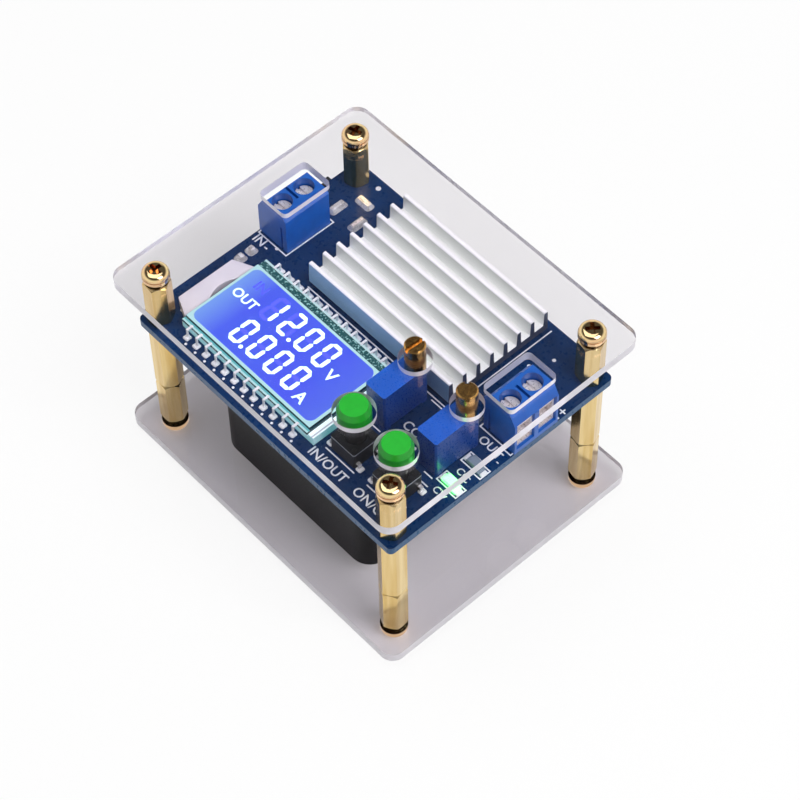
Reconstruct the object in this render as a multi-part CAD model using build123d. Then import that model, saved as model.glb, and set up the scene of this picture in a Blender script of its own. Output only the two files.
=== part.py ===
from build123d import *
import math
import os

os.makedirs("parts", exist_ok=True)

# Clear plates above and below, one outline for both
plate_length = 72.0
plate_width = 58.0
plate_thickness = 2.0
plate_corner_radius = 5.5
column_inset = 6.0

# Circuit board between them, inside the plates by the same inset all round
board_inset = 3.0
board_thickness = 1.6
board_corner_radius = 1.0

# Columns of hexagonal standoffs
lower_standoff_length = 11.0
middle_standoff_length = 16.0
upper_standoff_length = 10.0
hex_across_flats = 4.5
standoff_chamfer = 0.45
thread_diameter = 2.5
thread_clearance = 0.05
hole_clearance = 0.1
stud_length = 4.6
bore_spare = 0.8
hex_turn_step = 17.0

# Pan head screws of the columns
head_diameter = 5.0
head_height = 2.0
head_round = 1.3
shank_reach = 4.0
recess_span = 2.6
recess_width = 0.75
recess_depth = 1.1

# Cooling fan standing on the lower plate
fan_size = 40.0
fan_depth = 20.0
fan_corner_radius = 4.0
fan_bore_diameter = 38.0
fan_bore_flare = 0.7
fan_hole_pitch = 32.0
fan_screw_diameter = 3.0
fan_screw_clearance = 0.2
fan_head_diameter = 5.0
fan_head_height = 1.6
fan_head_round = 1.0
fan_nut_across_flats = 5.5
fan_nut_height = 2.4
fan_screw_spare = 0.4
air_opening_diameter = 37.0
fan_strut_count = 4
fan_strut_width = 2.2
fan_plate_thickness = 1.6
fan_motor_diameter = 21.0
fan_tube_diameter = 5.0
fan_shaft_diameter = 2.0
fan_shaft_clearance = 0.05
fan_hub_diameter = 22.0
fan_hub_wall = 1.0
fan_hub_setback = 0.9
fan_hub_gap = 0.8
fan_blade_count = 7
fan_blade_thickness = 1.0
fan_blade_root_chord = 12.5
fan_blade_tip_chord = 15.5
fan_blade_root_angle = 46.0
fan_blade_tip_angle = 32.0
fan_tip_clearance = 0.6
fan_stator_diameter = 17.6
fan_stator_height = 8.0
fan_stator_poles = 4
fan_stator_slot = 1.8

# Finned heatsink lying on the power transistors
sink_length = 36.0
sink_centre_x = 0.5
sink_front_y = 0.6
fin_count = 8
fin_pitch = 3.2
fin_root_thickness = 1.1
fin_tip_thickness = 0.8
fin_tip_round = 0.3
fin_height = 3.4
sink_base_thickness = 1.6
transistor_height = 0.75
transistor_length = 6.0
transistor_width = 5.2
transistor_gap = 3.4
thermal_pad_thickness = 0.25
thermal_pad_margin = 1.0

# Display of two glass sheets on a light box
display_centre_x = -9.2
display_centre_y = -11.95
view_length = 31.4
view_width = 15.3
view_offset_y = -0.65
view_corner_radius = 1.4
view_film_thickness = 0.2
front_glass_margin = 0.6
rear_glass_length = 33.0
rear_glass_width = 19.4
front_glass_thickness = 0.6
rear_glass_thickness = 0.6
light_box_thickness = 1.4
light_box_rise = 0.6
light_end_reach = 3.9
light_end_y = -12.9
light_end_half_wide = 7.95
light_end_half_narrow = 6.15
light_end_gap = 0.2
light_slot_half = 3.2
light_slot_depth = 1.0
light_bar_gap = 0.3
light_bar_width = 1.3
display_pin_count = 12
display_pin_pitch = 2.54
display_row_spacing = 21.3
display_pin_width = 0.45
display_pin_thickness = 0.2
display_pin_lap = 0.35

# Push buttons
button_x = (14.2, 24.6)
button_from_column = 6.2
button_hole_diameter = 7.6
switch_side = 6.0
switch_height = 3.4
switch_cover_thickness = 0.3
switch_corner_radius = 0.4
switch_rivet_inset = 0.95
switch_rivet_diameter = 0.8
switch_rivet_rise = 0.1
switch_floor = 1.0
switch_lead_spread = 0.55
switch_lead_pitch = 4.5
switch_lead_width = 0.7
switch_lead_thickness = 0.3
switch_lead_height = 1.0
plunger_diameter = 3.5
plunger_flange_diameter = 4.3
plunger_flange_thickness = 0.6
plunger_clearance = 0.08
plunger_travel = 0.25
plunger_spare = 0.15
cap_diameter = 6.0
cap_top_diameter = 4.9
cap_rise = 1.5
cap_shoulder = 1.1
cap_drop = 0.3
cap_crown = 1.6

# Adjusting trimmers
trimmer_from_middle = 13.15
trimmer_from_edge = 7.1
trimmer_screw_y = -2.1
trimmer_hole_diameter = 6.0
trimmer_length = 10.0
trimmer_width = 4.8
trimmer_height = 9.3
trimmer_foot = 0.4
trimmer_foot_length = 1.4
trimmer_edge = 0.3
trimmer_screw_from_end = 1.25
trimmer_screw_from_middle = 0.55
trimmer_knob_diameter = 3.8
trimmer_knob_rise = 3.8
trimmer_knob_chamfer = 0.25
trimmer_neck_diameter = 2.2
trimmer_neck_depth = 2.4
trimmer_clearance = 0.06
trimmer_slot_width = 0.7
trimmer_slot_depth = 0.9
trimmer_slot_turn = (86.0, 138.0)
trimmer_lead_pitch = 2.54
trimmer_lead_width = 0.5

# Wire terminals of two poles each
terminal_from_jack = 8.4
terminal_pitch = 5.08
terminal_depth = 7.6
terminal_height = 10.0
terminal_front_shoulder = 1.8
terminal_front_shoulder_drop = 3.2
terminal_back_shoulder = 1.2
terminal_back_shoulder_drop = 1.6
terminal_screw_from_front = 3.9
terminal_screw_hole_diameter = 3.8
terminal_floor = 1.0
terminal_clamp_setback = 0.6
terminal_clamp_width = 4.0
terminal_clamp_depth = 5.6
terminal_clamp_top = 6.9
terminal_clamp_wall = 0.45
terminal_clamp_roof = 1.3
terminal_fit_clearance = 0.05
terminal_slit_width = 0.5
terminal_slit_length = 3.4
terminal_slit_depth = 1.0
terminal_groove_width = 0.5
terminal_groove_depth = 0.35
terminal_groove_height = 6.0
terminal_groove_from_back = 1.1
terminal_notch = 0.7
clamp_screw_diameter = 2.9
clamp_screw_clearance = 0.06
clamp_head_diameter = 3.4
clamp_head_height = 1.2
clamp_head_gap = 0.1
clamp_slot_width = 0.6
clamp_slot_depth = 0.6
clamp_leaf_thickness = 0.4
clamp_leaf_gap = 0.3
clamp_leaf_length = 4.4
clamp_leaf_clearance = 0.1
terminal_pin_width = 1.0
cutout_length = 10.9
cutout_width = 7.2
cutout_radius = 1.0
cutout_from_front = 4.4
cutout_shift_y = 0.05

# Supply jack hanging under the board
jack_mouth_x = -35.0
jack_column_gap = 0.1
jack_length = 14.2
jack_width = 9.0
jack_height = 11.0
jack_axis_drop = 6.5
jack_flange_length = 3.4
jack_bore_diameter = 6.3
jack_bore_depth = 10.0
jack_pin_diameter = 2.1
jack_pin_root_diameter = 2.6
jack_pin_setback = 0.9
jack_pin_round = 0.4
jack_tab_width = 2.4
jack_tab_thickness = 0.5
jack_tab_rise = 0.9
jack_rear_tab_from_mouth = 13.2
jack_middle_tab_from_mouth = 7.8
jack_side_tab_from_mouth = 10.4
jack_side_tab_from_axis = 4.25

# Socket of the fan lead, under the board
header_from_edge = 2.75
header_middle_y = -3.27
header_pitch = 2.54
header_length = 7.5
header_width = 5.4
header_height = 7.0
header_wall = 0.9
header_floor = 2.0
header_pin_width = 0.64
header_pin_rise = 1.2

# Other components under the board
inductor_side = 12.0
inductor_height = 5.8
inductor_x = -6.0
inductor_y = 8.0
inductor_chamfer = 2.0
capacitor_diameter = 6.3
capacitor_height = 6.4
capacitor_x = 24.4
capacitor_y = (9.4, 16.6)
capacitor_round = 0.5
capacitor_groove = 0.35
capacitor_groove_drop = 1.9
capacitor_base_side = 6.6
capacitor_base_height = 0.9
capacitor_base_chamfer = 1.3
chip_places = ((-16.0, -10.0), (8.0, -12.0))
chip_length = 6.2
chip_width = 4.4
chip_height = 1.5
chip_lift = 0.15
chip_lead_count = 4
chip_lead_pitch = 1.27
chip_lead_width = 0.45
chip_lead_thickness = 0.25
chip_lead_reach = 1.0

# Indicator lamps at the board's right edge
lamp_from_edge = 2.6
lamp_y = (-9.8, -4.2)
lamp_length = 3.2
lamp_width = 1.6
lamp_height = 1.0
lamp_step = 0.5

# Shared by every lead that passes the board
lead_clearance = 0.1
lead_reach = 1.4
solder_height = 0.8
solder_flare = 0.75
solder_crest = 0.25
solder_corner_share = 0.9

# Levels, upwards from the underside of the lower screw heads
lower_plate_z = head_height
plate_top_z = lower_plate_z + plate_thickness
middle_standoff_z = plate_top_z + lower_standoff_length
board_z = middle_standoff_z + middle_standoff_length
board_top_z = board_z + board_thickness
upper_plate_z = board_top_z + upper_standoff_length
upper_plate_top_z = upper_plate_z + plate_thickness
sink_z = board_top_z + transistor_height + thermal_pad_thickness
light_box_top_z = board_top_z + light_box_thickness
front_glass_z = light_box_top_z + rear_glass_thickness
view_film_z = front_glass_z + front_glass_thickness
fan_top_z = plate_top_z + fan_depth
trimmer_top_z = board_top_z + trimmer_height
jack_axis_z = board_z - jack_axis_drop

# Sizes and places tied to the plates, the board's edges and the columns
hex_across_corners = hex_across_flats / math.cos(math.radians(30))
column_x = plate_length / 2 - column_inset
column_y = plate_width / 2 - column_inset
board_length = plate_length - 2 * board_inset
board_width = plate_width - 2 * board_inset
board_edge_x = board_length / 2
terminal_front_x = board_edge_x
cutout_centre_x = terminal_front_x - cutout_from_front
header_x = header_from_edge - board_edge_x
lamp_x = board_edge_x - lamp_from_edge
trimmer_screw_x = (trimmer_from_middle, board_edge_x - trimmer_from_edge)
jack_axis_y = column_y - hex_across_corners / 2 - jack_width / 2 - jack_column_gap
terminal_centre_y = jack_axis_y - terminal_from_jack
cutout_centre_y = terminal_centre_y + cutout_shift_y
button_y = button_from_column - column_y
view_centre_y = display_centre_y + view_offset_y

# Places that repeat
column_places = [(sx * column_x, sy * column_y) for sx in (-1, 1) for sy in (-1, 1)]
fan_hole = fan_hole_pitch / 2
fan_hole_places = [(sx * fan_hole, sy * fan_hole) for sx in (-1, 1) for sy in (-1, 1)]
display_pin_places = [
    (display_centre_x + (i - (display_pin_count - 1) / 2) * display_pin_pitch, side)
    for side in (-1, 1)
    for i in range(display_pin_count)
]
terminal_pole_y = [terminal_centre_y - terminal_pitch / 2, terminal_centre_y + terminal_pitch / 2]
switch_lead_places = [
    (sx * (switch_side / 2 + switch_lead_spread), sy * switch_lead_pitch / 2)
    for sx in (-1, 1)
    for sy in (-1, 1)
]


def rod(radius, low, high, x=0.0, y=0.0):
    """Upright cylinder between two levels."""
    cylinder = Cylinder(radius, high - low, align=(Align.CENTER, Align.CENTER, Align.MIN))
    return Pos(x, y, low) * cylinder


def block(x_low, x_high, y_low, y_high, low, high):
    """Square-edged block between three pairs of faces."""
    size = Box(x_high - x_low, y_high - y_low, high - low, align=(Align.MIN, Align.MIN, Align.MIN))
    return Pos(x_low, y_low, low) * size


def post(width, depth, low, high, x, y):
    """Upright rectangular post centred on a place."""
    return block(x - width / 2, x + width / 2, y - depth / 2, y + depth / 2, low, high)


def group(solids):
    """Separate solids of one kind, kept together."""
    return Compound(children=[solid.solid() for solid in solids])


def save(shape, name):
    """Write one piece to its own file."""
    export_step(shape, f"parts/{name}.step")


def lead_hole(width, depth=0.0):
    """Radius of the board hole round a rectangular lead."""
    return math.hypot(width, depth) / 2 + lead_clearance


# Fasteners and columns
def pan_head(diameter, height, rounding):
    """Domed head with a cross recess, its underside at zero."""
    head = rod(diameter / 2, 0.0, height)
    head = fillet(head.edges().group_by(Axis.Z)[-1], rounding)
    cross = Rectangle(recess_span, recess_width) + Rectangle(recess_width, recess_span)
    return head - Pos(0, 0, height - recess_depth) * extrude(cross, amount=recess_depth)


def pan_screw(diameter, height, rounding, shank_radius, shank_length):
    """Screw whose head sits on the level zero and whose shank points down."""
    head = pan_head(diameter, height, rounding)
    return head + rod(shank_radius, -shank_length, 0.0)


def column_screw():
    """Screw that holds a plate to a column."""
    length = plate_thickness + shank_reach
    return pan_screw(head_diameter, head_height, head_round, thread_diameter / 2, length)


def hex_pillar(length):
    """Hexagonal bar with turned ends."""
    bar = extrude(RegularPolygon(hex_across_flats / 2, 6, major_radius=False), amount=length)
    turned = Cylinder(hex_across_corners / 2, length, align=(Align.CENTER, Align.CENTER, Align.MIN))
    turned = chamfer(turned.edges().filter_by(GeomType.CIRCLE), standoff_chamfer)
    return bar & turned


def studded_standoff(length, lower_reach, stud_reach):
    """Standoff with a threaded bore below and a stud above."""
    bore_radius = thread_diameter / 2 + thread_clearance
    bar = hex_pillar(length) - rod(bore_radius, 0.0, lower_reach + bore_spare)
    return bar + rod(thread_diameter / 2, length, length + stud_reach)


def plain_standoff(length):
    """Standoff with a threaded bore right through."""
    return hex_pillar(length) - rod(thread_diameter / 2 + thread_clearance, 0.0, length)


def on_columns(piece, level):
    """One copy of a piece on each column, each screwed home at its own angle."""
    placed = []
    for index, (x, y) in enumerate(column_places):
        placed.append(Pos(x, y, level) * Rot(0, 0, index * hex_turn_step) * piece)
    return group(placed)


# Plates and board
def clear_plate(level, openings):
    """Clear sheet with column holes and its own openings."""
    outline = RectangleRounded(plate_length, plate_width, plate_corner_radius)
    hole = Circle(thread_diameter / 2 + hole_clearance)
    outline -= [Pos(x, y) * hole for x, y in column_places]
    outline -= openings
    return Pos(0, 0, level) * extrude(outline, amount=plate_thickness)


def upper_openings():
    """Openings of the upper plate over the buttons, trimmers and terminals."""
    button_hole = Circle(button_hole_diameter / 2)
    trimmer_hole = Circle(trimmer_hole_diameter / 2)
    cutout = RectangleRounded(cutout_width, cutout_length, cutout_radius)
    openings = [Pos(x, button_y) * button_hole for x in button_x]
    openings += [Pos(x, trimmer_screw_y) * trimmer_hole for x in trimmer_screw_x]
    openings += [Pos(side * cutout_centre_x, cutout_centre_y) * cutout for side in (-1, 1)]
    return openings


def lower_openings():
    """Air opening and screw holes of the lower plate, under the fan."""
    screw_hole = Circle(fan_screw_diameter / 2 + fan_screw_clearance)
    return [Circle(air_opening_diameter / 2)] + [Pos(x, y) * screw_hole for x, y in fan_hole_places]


def board_holes():
    """Holes of the board for studs and leads."""
    stud_hole = Circle(thread_diameter / 2 + hole_clearance)
    holes = [Pos(x, y) * stud_hole for x, y in column_places]
    pin_hole = Circle(lead_hole(display_pin_width, display_pin_thickness))
    for x, side in display_pin_places:
        holes.append(Pos(x, display_centre_y + side * display_row_spacing / 2) * pin_hole)
    switch_hole = Circle(lead_hole(switch_lead_width, switch_lead_thickness))
    for centre_x in button_x:
        holes += [Pos(centre_x + x, button_y + y) * switch_hole for x, y in switch_lead_places]
    trimmer_hole = Circle(lead_hole(trimmer_lead_width, trimmer_lead_width))
    for screw_x in trimmer_screw_x:
        holes += [Pos(x, y) * trimmer_hole for x, y in trimmer_lead_places(screw_x)]
    terminal_hole = Circle(lead_hole(terminal_pin_width, terminal_pin_width))
    for side in (-1, 1):
        holes += [Pos(side * terminal_screw_x(), y) * terminal_hole for y in terminal_pole_y]
    header_hole = Circle(lead_hole(header_pin_width, header_pin_width))
    holes += [Pos(header_x, y) * header_hole for y in header_pin_y()]
    for x, y, length, width in jack_tabs():
        holes.append(Pos(x, y) * Rectangle(length + 2 * lead_clearance, width + 2 * lead_clearance))
    return holes


def circuit_board():
    """Board with its corner holes and lead holes."""
    outline = RectangleRounded(board_length, board_width, board_corner_radius)
    outline -= board_holes()
    return Pos(0, 0, board_z) * extrude(outline, amount=board_thickness)


# Cooling fan
def fan_frame():
    """Square frame, motor plate on struts and bearing tube, one moulding."""
    outline = RectangleRounded(fan_size, fan_size, fan_corner_radius)
    outline -= Circle(fan_bore_diameter / 2)
    screw_hole = Circle(fan_screw_diameter / 2 + fan_screw_clearance)
    outline -= [Pos(x, y) * screw_hole for x, y in fan_hole_places]
    frame = Pos(0, 0, plate_top_z) * extrude(outline, amount=fan_depth)
    flare = Cone(
        fan_bore_diameter / 2 + fan_bore_flare,
        fan_bore_diameter / 2,
        fan_bore_flare,
        align=(Align.CENTER, Align.CENTER, Align.MIN),
    )
    frame -= Pos(0, 0, plate_top_z) * flare
    plate_z = fan_top_z - fan_plate_thickness
    carrier = rod(fan_motor_diameter / 2, plate_z, fan_top_z)
    reach = fan_bore_diameter / 2 + fan_bore_flare / 2
    for index in range(fan_strut_count):
        strut = block(0.0, reach, -fan_strut_width / 2, fan_strut_width / 2, plate_z, fan_top_z)
        carrier += Rot(0, 0, (index + 0.5) * 360 / fan_strut_count) * strut
    carrier += rod(fan_tube_diameter / 2, fan_tube_low_z(), plate_z)
    shaft_room = fan_shaft_diameter / 2 + fan_shaft_clearance
    carrier -= rod(shaft_room, fan_tube_low_z(), plate_z)
    return frame + carrier


def fan_hub_low_z():
    """Level of the hub's outer face, just inside the frame."""
    return plate_top_z + fan_hub_setback


def fan_hub_floor_z():
    """Level of the hub's inner face."""
    return fan_hub_low_z() + fan_hub_wall


def fan_tube_low_z():
    """Level where the bearing tube ends over the hub's inner face."""
    return fan_hub_floor_z() + fan_hub_gap


def fan_blade(angle):
    """One twisted blade, trimmed to the swept diameter."""
    middle_z = plate_top_z + fan_depth / 2 - fan_hub_gap
    sections = []
    for radius, chord, pitch in (
        (fan_hub_diameter / 2 - fan_hub_wall / 2, fan_blade_root_chord, fan_blade_root_angle),
        (fan_bore_diameter / 2, fan_blade_tip_chord, fan_blade_tip_angle),
    ):
        plane = Plane(origin=(radius, 0, middle_z), x_dir=(0, 1, 0), z_dir=(1, 0, 0))
        sections.append(plane * Rot(0, 0, pitch) * Rectangle(chord, fan_blade_thickness))
    return Rot(0, 0, angle) * loft(sections, ruled=True)


def fan_rotor():
    """Cup hub with its shaft and its ring of blades."""
    top_z = fan_top_z - fan_plate_thickness - fan_hub_gap
    hub_radius = fan_hub_diameter / 2
    blades = [fan_blade(index * 360 / fan_blade_count) for index in range(fan_blade_count)]
    swept = rod(fan_bore_diameter / 2 - fan_tip_clearance, fan_hub_low_z(), top_z)
    swept -= rod(hub_radius - fan_hub_wall / 2, fan_hub_low_z(), top_z)
    hub = rod(hub_radius, fan_hub_low_z(), top_z)
    hub = chamfer(hub.edges().group_by(Axis.Z)[0], fan_hub_wall / 2)
    hub -= rod(hub_radius - fan_hub_wall, fan_hub_floor_z(), top_z)
    hub += rod(fan_shaft_diameter / 2, fan_hub_floor_z(), top_z)
    for blade in blades:
        hub += blade & swept
    return hub


def fan_stator():
    """Motor core on the bearing tube, inside the hub."""
    low = fan_tube_low_z() + fan_hub_gap
    top = low + fan_stator_height
    core = rod(fan_stator_diameter / 2, low, top)
    inner = fan_tube_diameter / 2 + fan_shaft_clearance
    core -= rod(inner, low, top)
    outer = fan_stator_diameter / 2 + fan_stator_slot
    half = fan_stator_slot / 2
    slot = block(inner + fan_stator_slot, outer, -half, half, low, top)
    for index in range(fan_stator_poles):
        core -= Rot(0, 0, index * 360 / fan_stator_poles) * slot
    return core


def fan_screws():
    """Screws up through the lower plate and the frame."""
    length = plate_thickness + fan_depth + fan_nut_height + fan_screw_spare
    screw = pan_screw(fan_head_diameter, fan_head_height, fan_head_round, fan_screw_diameter / 2, length)
    return group([Pos(x, y, lower_plate_z) * Rot(180, 0, 0) * screw for x, y in fan_hole_places])


def fan_nuts():
    """Nuts of those screws, on top of the frame."""
    nut = extrude(RegularPolygon(fan_nut_across_flats / 2, 6, major_radius=False), amount=fan_nut_height)
    nut -= rod(fan_screw_diameter / 2 + thread_clearance, 0.0, fan_nut_height)
    return group([Pos(x, y, fan_top_z) * nut for x, y in fan_hole_places])


# Heatsink and what it lies on
def sink_width():
    """Width over all fins."""
    return (fin_count - 1) * fin_pitch + fin_root_thickness


def heatsink():
    """Comb section drawn along its length."""
    width = sink_width()
    section = Rectangle(width, sink_base_thickness, align=(Align.MIN, Align.MIN))
    root = fin_root_thickness / 2
    tip = fin_tip_thickness / 2
    top = sink_base_thickness + fin_height
    for index in range(fin_count):
        middle = root + index * fin_pitch
        corners = [
            (middle - root, sink_base_thickness),
            (middle + root, sink_base_thickness),
            (middle + tip, top),
            (middle - tip, top),
        ]
        fin = make_face(Polyline(*corners, close=True))
        section += fillet(fin.vertices().group_by(Axis.Y)[-1], fin_tip_round)
    start = Plane(
        origin=(sink_centre_x - sink_length / 2, sink_front_y, sink_z), x_dir=(0, 1, 0), z_dir=(1, 0, 0)
    )
    return extrude(start * section, amount=sink_length)


def transistor_places():
    """Two by two places under the middle of the heatsink."""
    step_x = (transistor_length + transistor_gap) / 2
    step_y = (transistor_width + transistor_gap) / 2
    middle_y = sink_front_y + sink_width() / 2
    return [(sink_centre_x + sx * step_x, middle_y + sy * step_y) for sx in (-1, 1) for sy in (-1, 1)]


def power_transistors():
    """Flat power packages on the board."""
    top = board_top_z + transistor_height
    length, width = transistor_length, transistor_width
    return group([post(length, width, board_top_z, top, x, y) for x, y in transistor_places()])


def thermal_pad():
    """Soft pad between the packages and the heatsink."""
    length = 2 * (transistor_length + thermal_pad_margin) + transistor_gap
    width = 2 * (transistor_width + thermal_pad_margin) + transistor_gap
    low = board_top_z + transistor_height
    middle_y = sink_front_y + sink_width() / 2
    return post(length, width, low, low + thermal_pad_thickness, sink_centre_x, middle_y)


# Display
def display_glass():
    """Rear sheet with its contact ledges and the smaller front sheet on it."""
    front_length = view_length + 2 * front_glass_margin
    front_width = view_width + 2 * front_glass_margin
    x = display_centre_x
    rear = post(rear_glass_length, rear_glass_width, light_box_top_z, front_glass_z, x, display_centre_y)
    return rear + post(front_length, front_width, front_glass_z, view_film_z, x, view_centre_y)


def display_film():
    """Film over the view, with round corners."""
    outline = RectangleRounded(view_length, view_width, view_corner_radius)
    film = extrude(outline, amount=view_film_thickness)
    return Pos(display_centre_x, view_centre_y, view_film_z) * film


def display_light_box():
    """Light box under the glass, with its tapered lamp end and its end bar."""
    rear_x = rear_glass_length / 2
    rear_y = rear_glass_width / 2
    rise = light_box_thickness + light_box_rise
    box = block(-rear_x, rear_x, -rear_y, rear_y, 0.0, light_box_thickness)
    lamp_start = -rear_x - light_end_gap
    lamp_end = lamp_start - light_end_reach
    middle = light_end_y - display_centre_y
    corners = [
        (lamp_start, middle - light_end_half_wide),
        (lamp_start, middle + light_end_half_wide),
        (lamp_end, middle + light_end_half_narrow),
        (lamp_end, middle - light_end_half_narrow),
    ]
    box += extrude(make_face(Polyline(*corners, close=True)), amount=rise)
    box += block(
        lamp_start,
        -rear_x,
        middle - light_end_half_wide,
        middle + light_end_half_wide,
        0.0,
        light_box_thickness,
    )
    bar_start = rear_x + light_bar_gap
    bar_end = bar_start + light_bar_width
    box += block(rear_x, bar_end, -rear_y, rear_y, 0.0, light_box_thickness)
    box += block(bar_start, bar_end, -rear_y, rear_y, 0.0, rise)
    slot_radius = (light_slot_half**2 + light_slot_depth**2) / (2 * light_slot_depth)
    slot_x = lamp_start - light_slot_depth + slot_radius
    slot = rod(slot_radius, 0.0, rise, slot_x, 0.0)
    slot &= block(lamp_start - light_slot_depth, -rear_x, -light_slot_half, light_slot_half, 0.0, rise)
    return Pos(display_centre_x, display_centre_y, board_top_z) * (box - slot)


def display_pins():
    """Clip pins along both long edges of the glass, down through the board."""
    ledge = rear_glass_width / 2 - display_pin_lap
    row = display_row_spacing / 2
    half = display_pin_thickness / 2
    low = board_z - lead_reach
    top = front_glass_z + display_pin_thickness
    corners = [
        (ledge, front_glass_z),
        (row - half, front_glass_z),
        (row - half, low),
        (row + half, low),
        (row + half, top),
        (ledge, top),
    ]
    bent = make_face(Polyline(*corners, close=True))
    plane = Plane(origin=(-display_pin_width / 2, 0, 0), x_dir=(0, 1, 0), z_dir=(1, 0, 0))
    pin = extrude(plane * bent, amount=display_pin_width)
    placed = []
    for x, side in display_pin_places:
        turn = 0 if side > 0 else 180
        placed.append(Pos(x, display_centre_y, 0) * Rot(0, 0, turn) * pin)
    return group(placed)


# Push buttons, each drawn round its own axis
def switch_rivets(diameter, low, high):
    """Four small posts near the corners of a switch."""
    corner = switch_side / 2 - switch_rivet_inset
    return [rod(diameter / 2, low, high, sx * corner, sy * corner) for sx in (-1, 1) for sy in (-1, 1)]


def switch_base():
    """Moulded base with the plunger well and four rivet posts."""
    cover_top = switch_height + switch_cover_thickness
    outline = RectangleRounded(switch_side, switch_side, switch_corner_radius)
    base = extrude(outline, amount=switch_height)
    well = plunger_flange_diameter / 2 + plunger_clearance
    base -= rod(well, switch_floor, switch_height)
    for rivet in switch_rivets(switch_rivet_diameter, switch_height, cover_top + switch_rivet_rise):
        base += rivet
    return base


def switch_cover():
    """Metal cover with holes for the plunger and the rivet posts."""
    outline = RectangleRounded(switch_side, switch_side, switch_corner_radius)
    cover = Pos(0, 0, switch_height) * extrude(outline, amount=switch_cover_thickness)
    top = switch_height + switch_cover_thickness
    cover -= rod(plunger_diameter / 2 + plunger_clearance, switch_height, top)
    for rivet in switch_rivets(switch_rivet_diameter, switch_height, top):
        cover -= rivet
    return cover


def switch_leads():
    """Four bent leads from the base's sides down through the board."""
    half = switch_lead_thickness / 2
    side = switch_side / 2
    outer = side + switch_lead_spread
    low = -board_thickness - lead_reach
    corners = [
        (side, switch_lead_height),
        (side, switch_lead_height + switch_lead_thickness),
        (outer + half, switch_lead_height + switch_lead_thickness),
        (outer + half, low),
        (outer - half, low),
        (outer - half, switch_lead_height),
    ]
    bent = make_face(Polyline(*corners, close=True))
    plane = Plane(origin=(0, switch_lead_width / 2, 0), x_dir=(1, 0, 0), z_dir=(0, -1, 0))
    lead = extrude(plane * bent, amount=switch_lead_width)
    placed = []
    for sy in (-1, 1):
        for turn in (0, 180):
            placed.append(Rot(0, 0, turn) * Pos(0, sy * switch_lead_pitch / 2, 0) * lead)
    return placed


def cap_top():
    """Level of a cap's crown over the board."""
    return upper_standoff_length + plate_thickness + cap_rise


def switch_plunger():
    """Plunger from the well up into the cap."""
    flange_top = switch_height - plunger_clearance
    flange_low = flange_top - plunger_flange_thickness
    low = switch_floor + plunger_travel + plunger_spare
    stem = rod(plunger_diameter / 2, low, cap_top() - cap_crown)
    return stem + rod(plunger_flange_diameter / 2, flange_low, flange_top)


def button_cap():
    """Round cap with a bevelled crown, open below for the plunger."""
    low = upper_standoff_length - cap_drop
    top = cap_top()
    straight = rod(cap_diameter / 2, low, top - cap_shoulder)
    crown = Cone(
        cap_diameter / 2,
        cap_top_diameter / 2,
        cap_shoulder,
        align=(Align.CENTER, Align.CENTER, Align.MIN),
    )
    cap = straight + Pos(0, 0, top - cap_shoulder) * crown
    return cap - rod(plunger_diameter / 2, low, top - cap_crown)


# Trimmers
def trimmer_middle(screw_x):
    """Middle of a trimmer's body, from its screw's place."""
    x = screw_x - trimmer_screw_from_middle
    y = trimmer_screw_y + trimmer_screw_from_end - trimmer_length / 2
    return x, y


def trimmer_lead_places(screw_x):
    """Three lead places in a row under the body."""
    x, y = trimmer_middle(screw_x)
    return [(x, y + step * trimmer_lead_pitch) for step in (-1, 0, 1)]


def trimmer_body(screw_x):
    """Moulded body on two feet, with a bore for its screw."""
    x, y = trimmer_middle(screw_x)
    half = trimmer_length / 2
    body = post(trimmer_width, trimmer_length, board_top_z, trimmer_top_z, x, y)
    body = chamfer(body.edges().filter_by(Axis.Z), trimmer_edge)
    span = half - trimmer_foot_length
    body -= block(
        x - trimmer_width, x + trimmer_width, y - span, y + span, board_top_z, board_top_z + trimmer_foot
    )
    bore = trimmer_neck_diameter / 2 + trimmer_clearance
    low = trimmer_top_z - trimmer_neck_depth - trimmer_clearance
    return body - rod(bore, low, trimmer_top_z, screw_x, trimmer_screw_y)


def trimmer_screw(screw_x, slot_turn):
    """Slotted brass screw standing through the upper plate."""
    low = trimmer_top_z + trimmer_clearance
    top = upper_plate_top_z + trimmer_knob_rise
    knob = rod(trimmer_knob_diameter / 2, low, top)
    knob = chamfer(knob.edges().group_by(Axis.Z)[-1], trimmer_knob_chamfer)
    knob += rod(trimmer_neck_diameter / 2, trimmer_top_z - trimmer_neck_depth, low)
    slot = post(trimmer_knob_diameter, trimmer_slot_width, top - trimmer_slot_depth, top, 0.0, 0.0)
    return Pos(screw_x, trimmer_screw_y, 0) * Rot(0, 0, slot_turn) * (knob - slot)


def trimmer_leads(screw_x):
    """Three leads from the body down through the board."""
    low = board_z - lead_reach
    top = board_top_z + trimmer_foot
    width = trimmer_lead_width
    return [post(width, width, low, top, x, y) for x, y in trimmer_lead_places(screw_x)]


# Wire terminals, drawn for the right side with the wire entries outwards
def terminal_screw_x():
    """Distance of the clamp screws from the board's middle."""
    return terminal_front_x - terminal_screw_from_front


def facing(shape, side):
    """Turn a right-hand terminal piece to face its own side, poles staying in their row."""
    if side > 0:
        return shape
    return mirror(shape, about=Plane.YZ)


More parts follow.
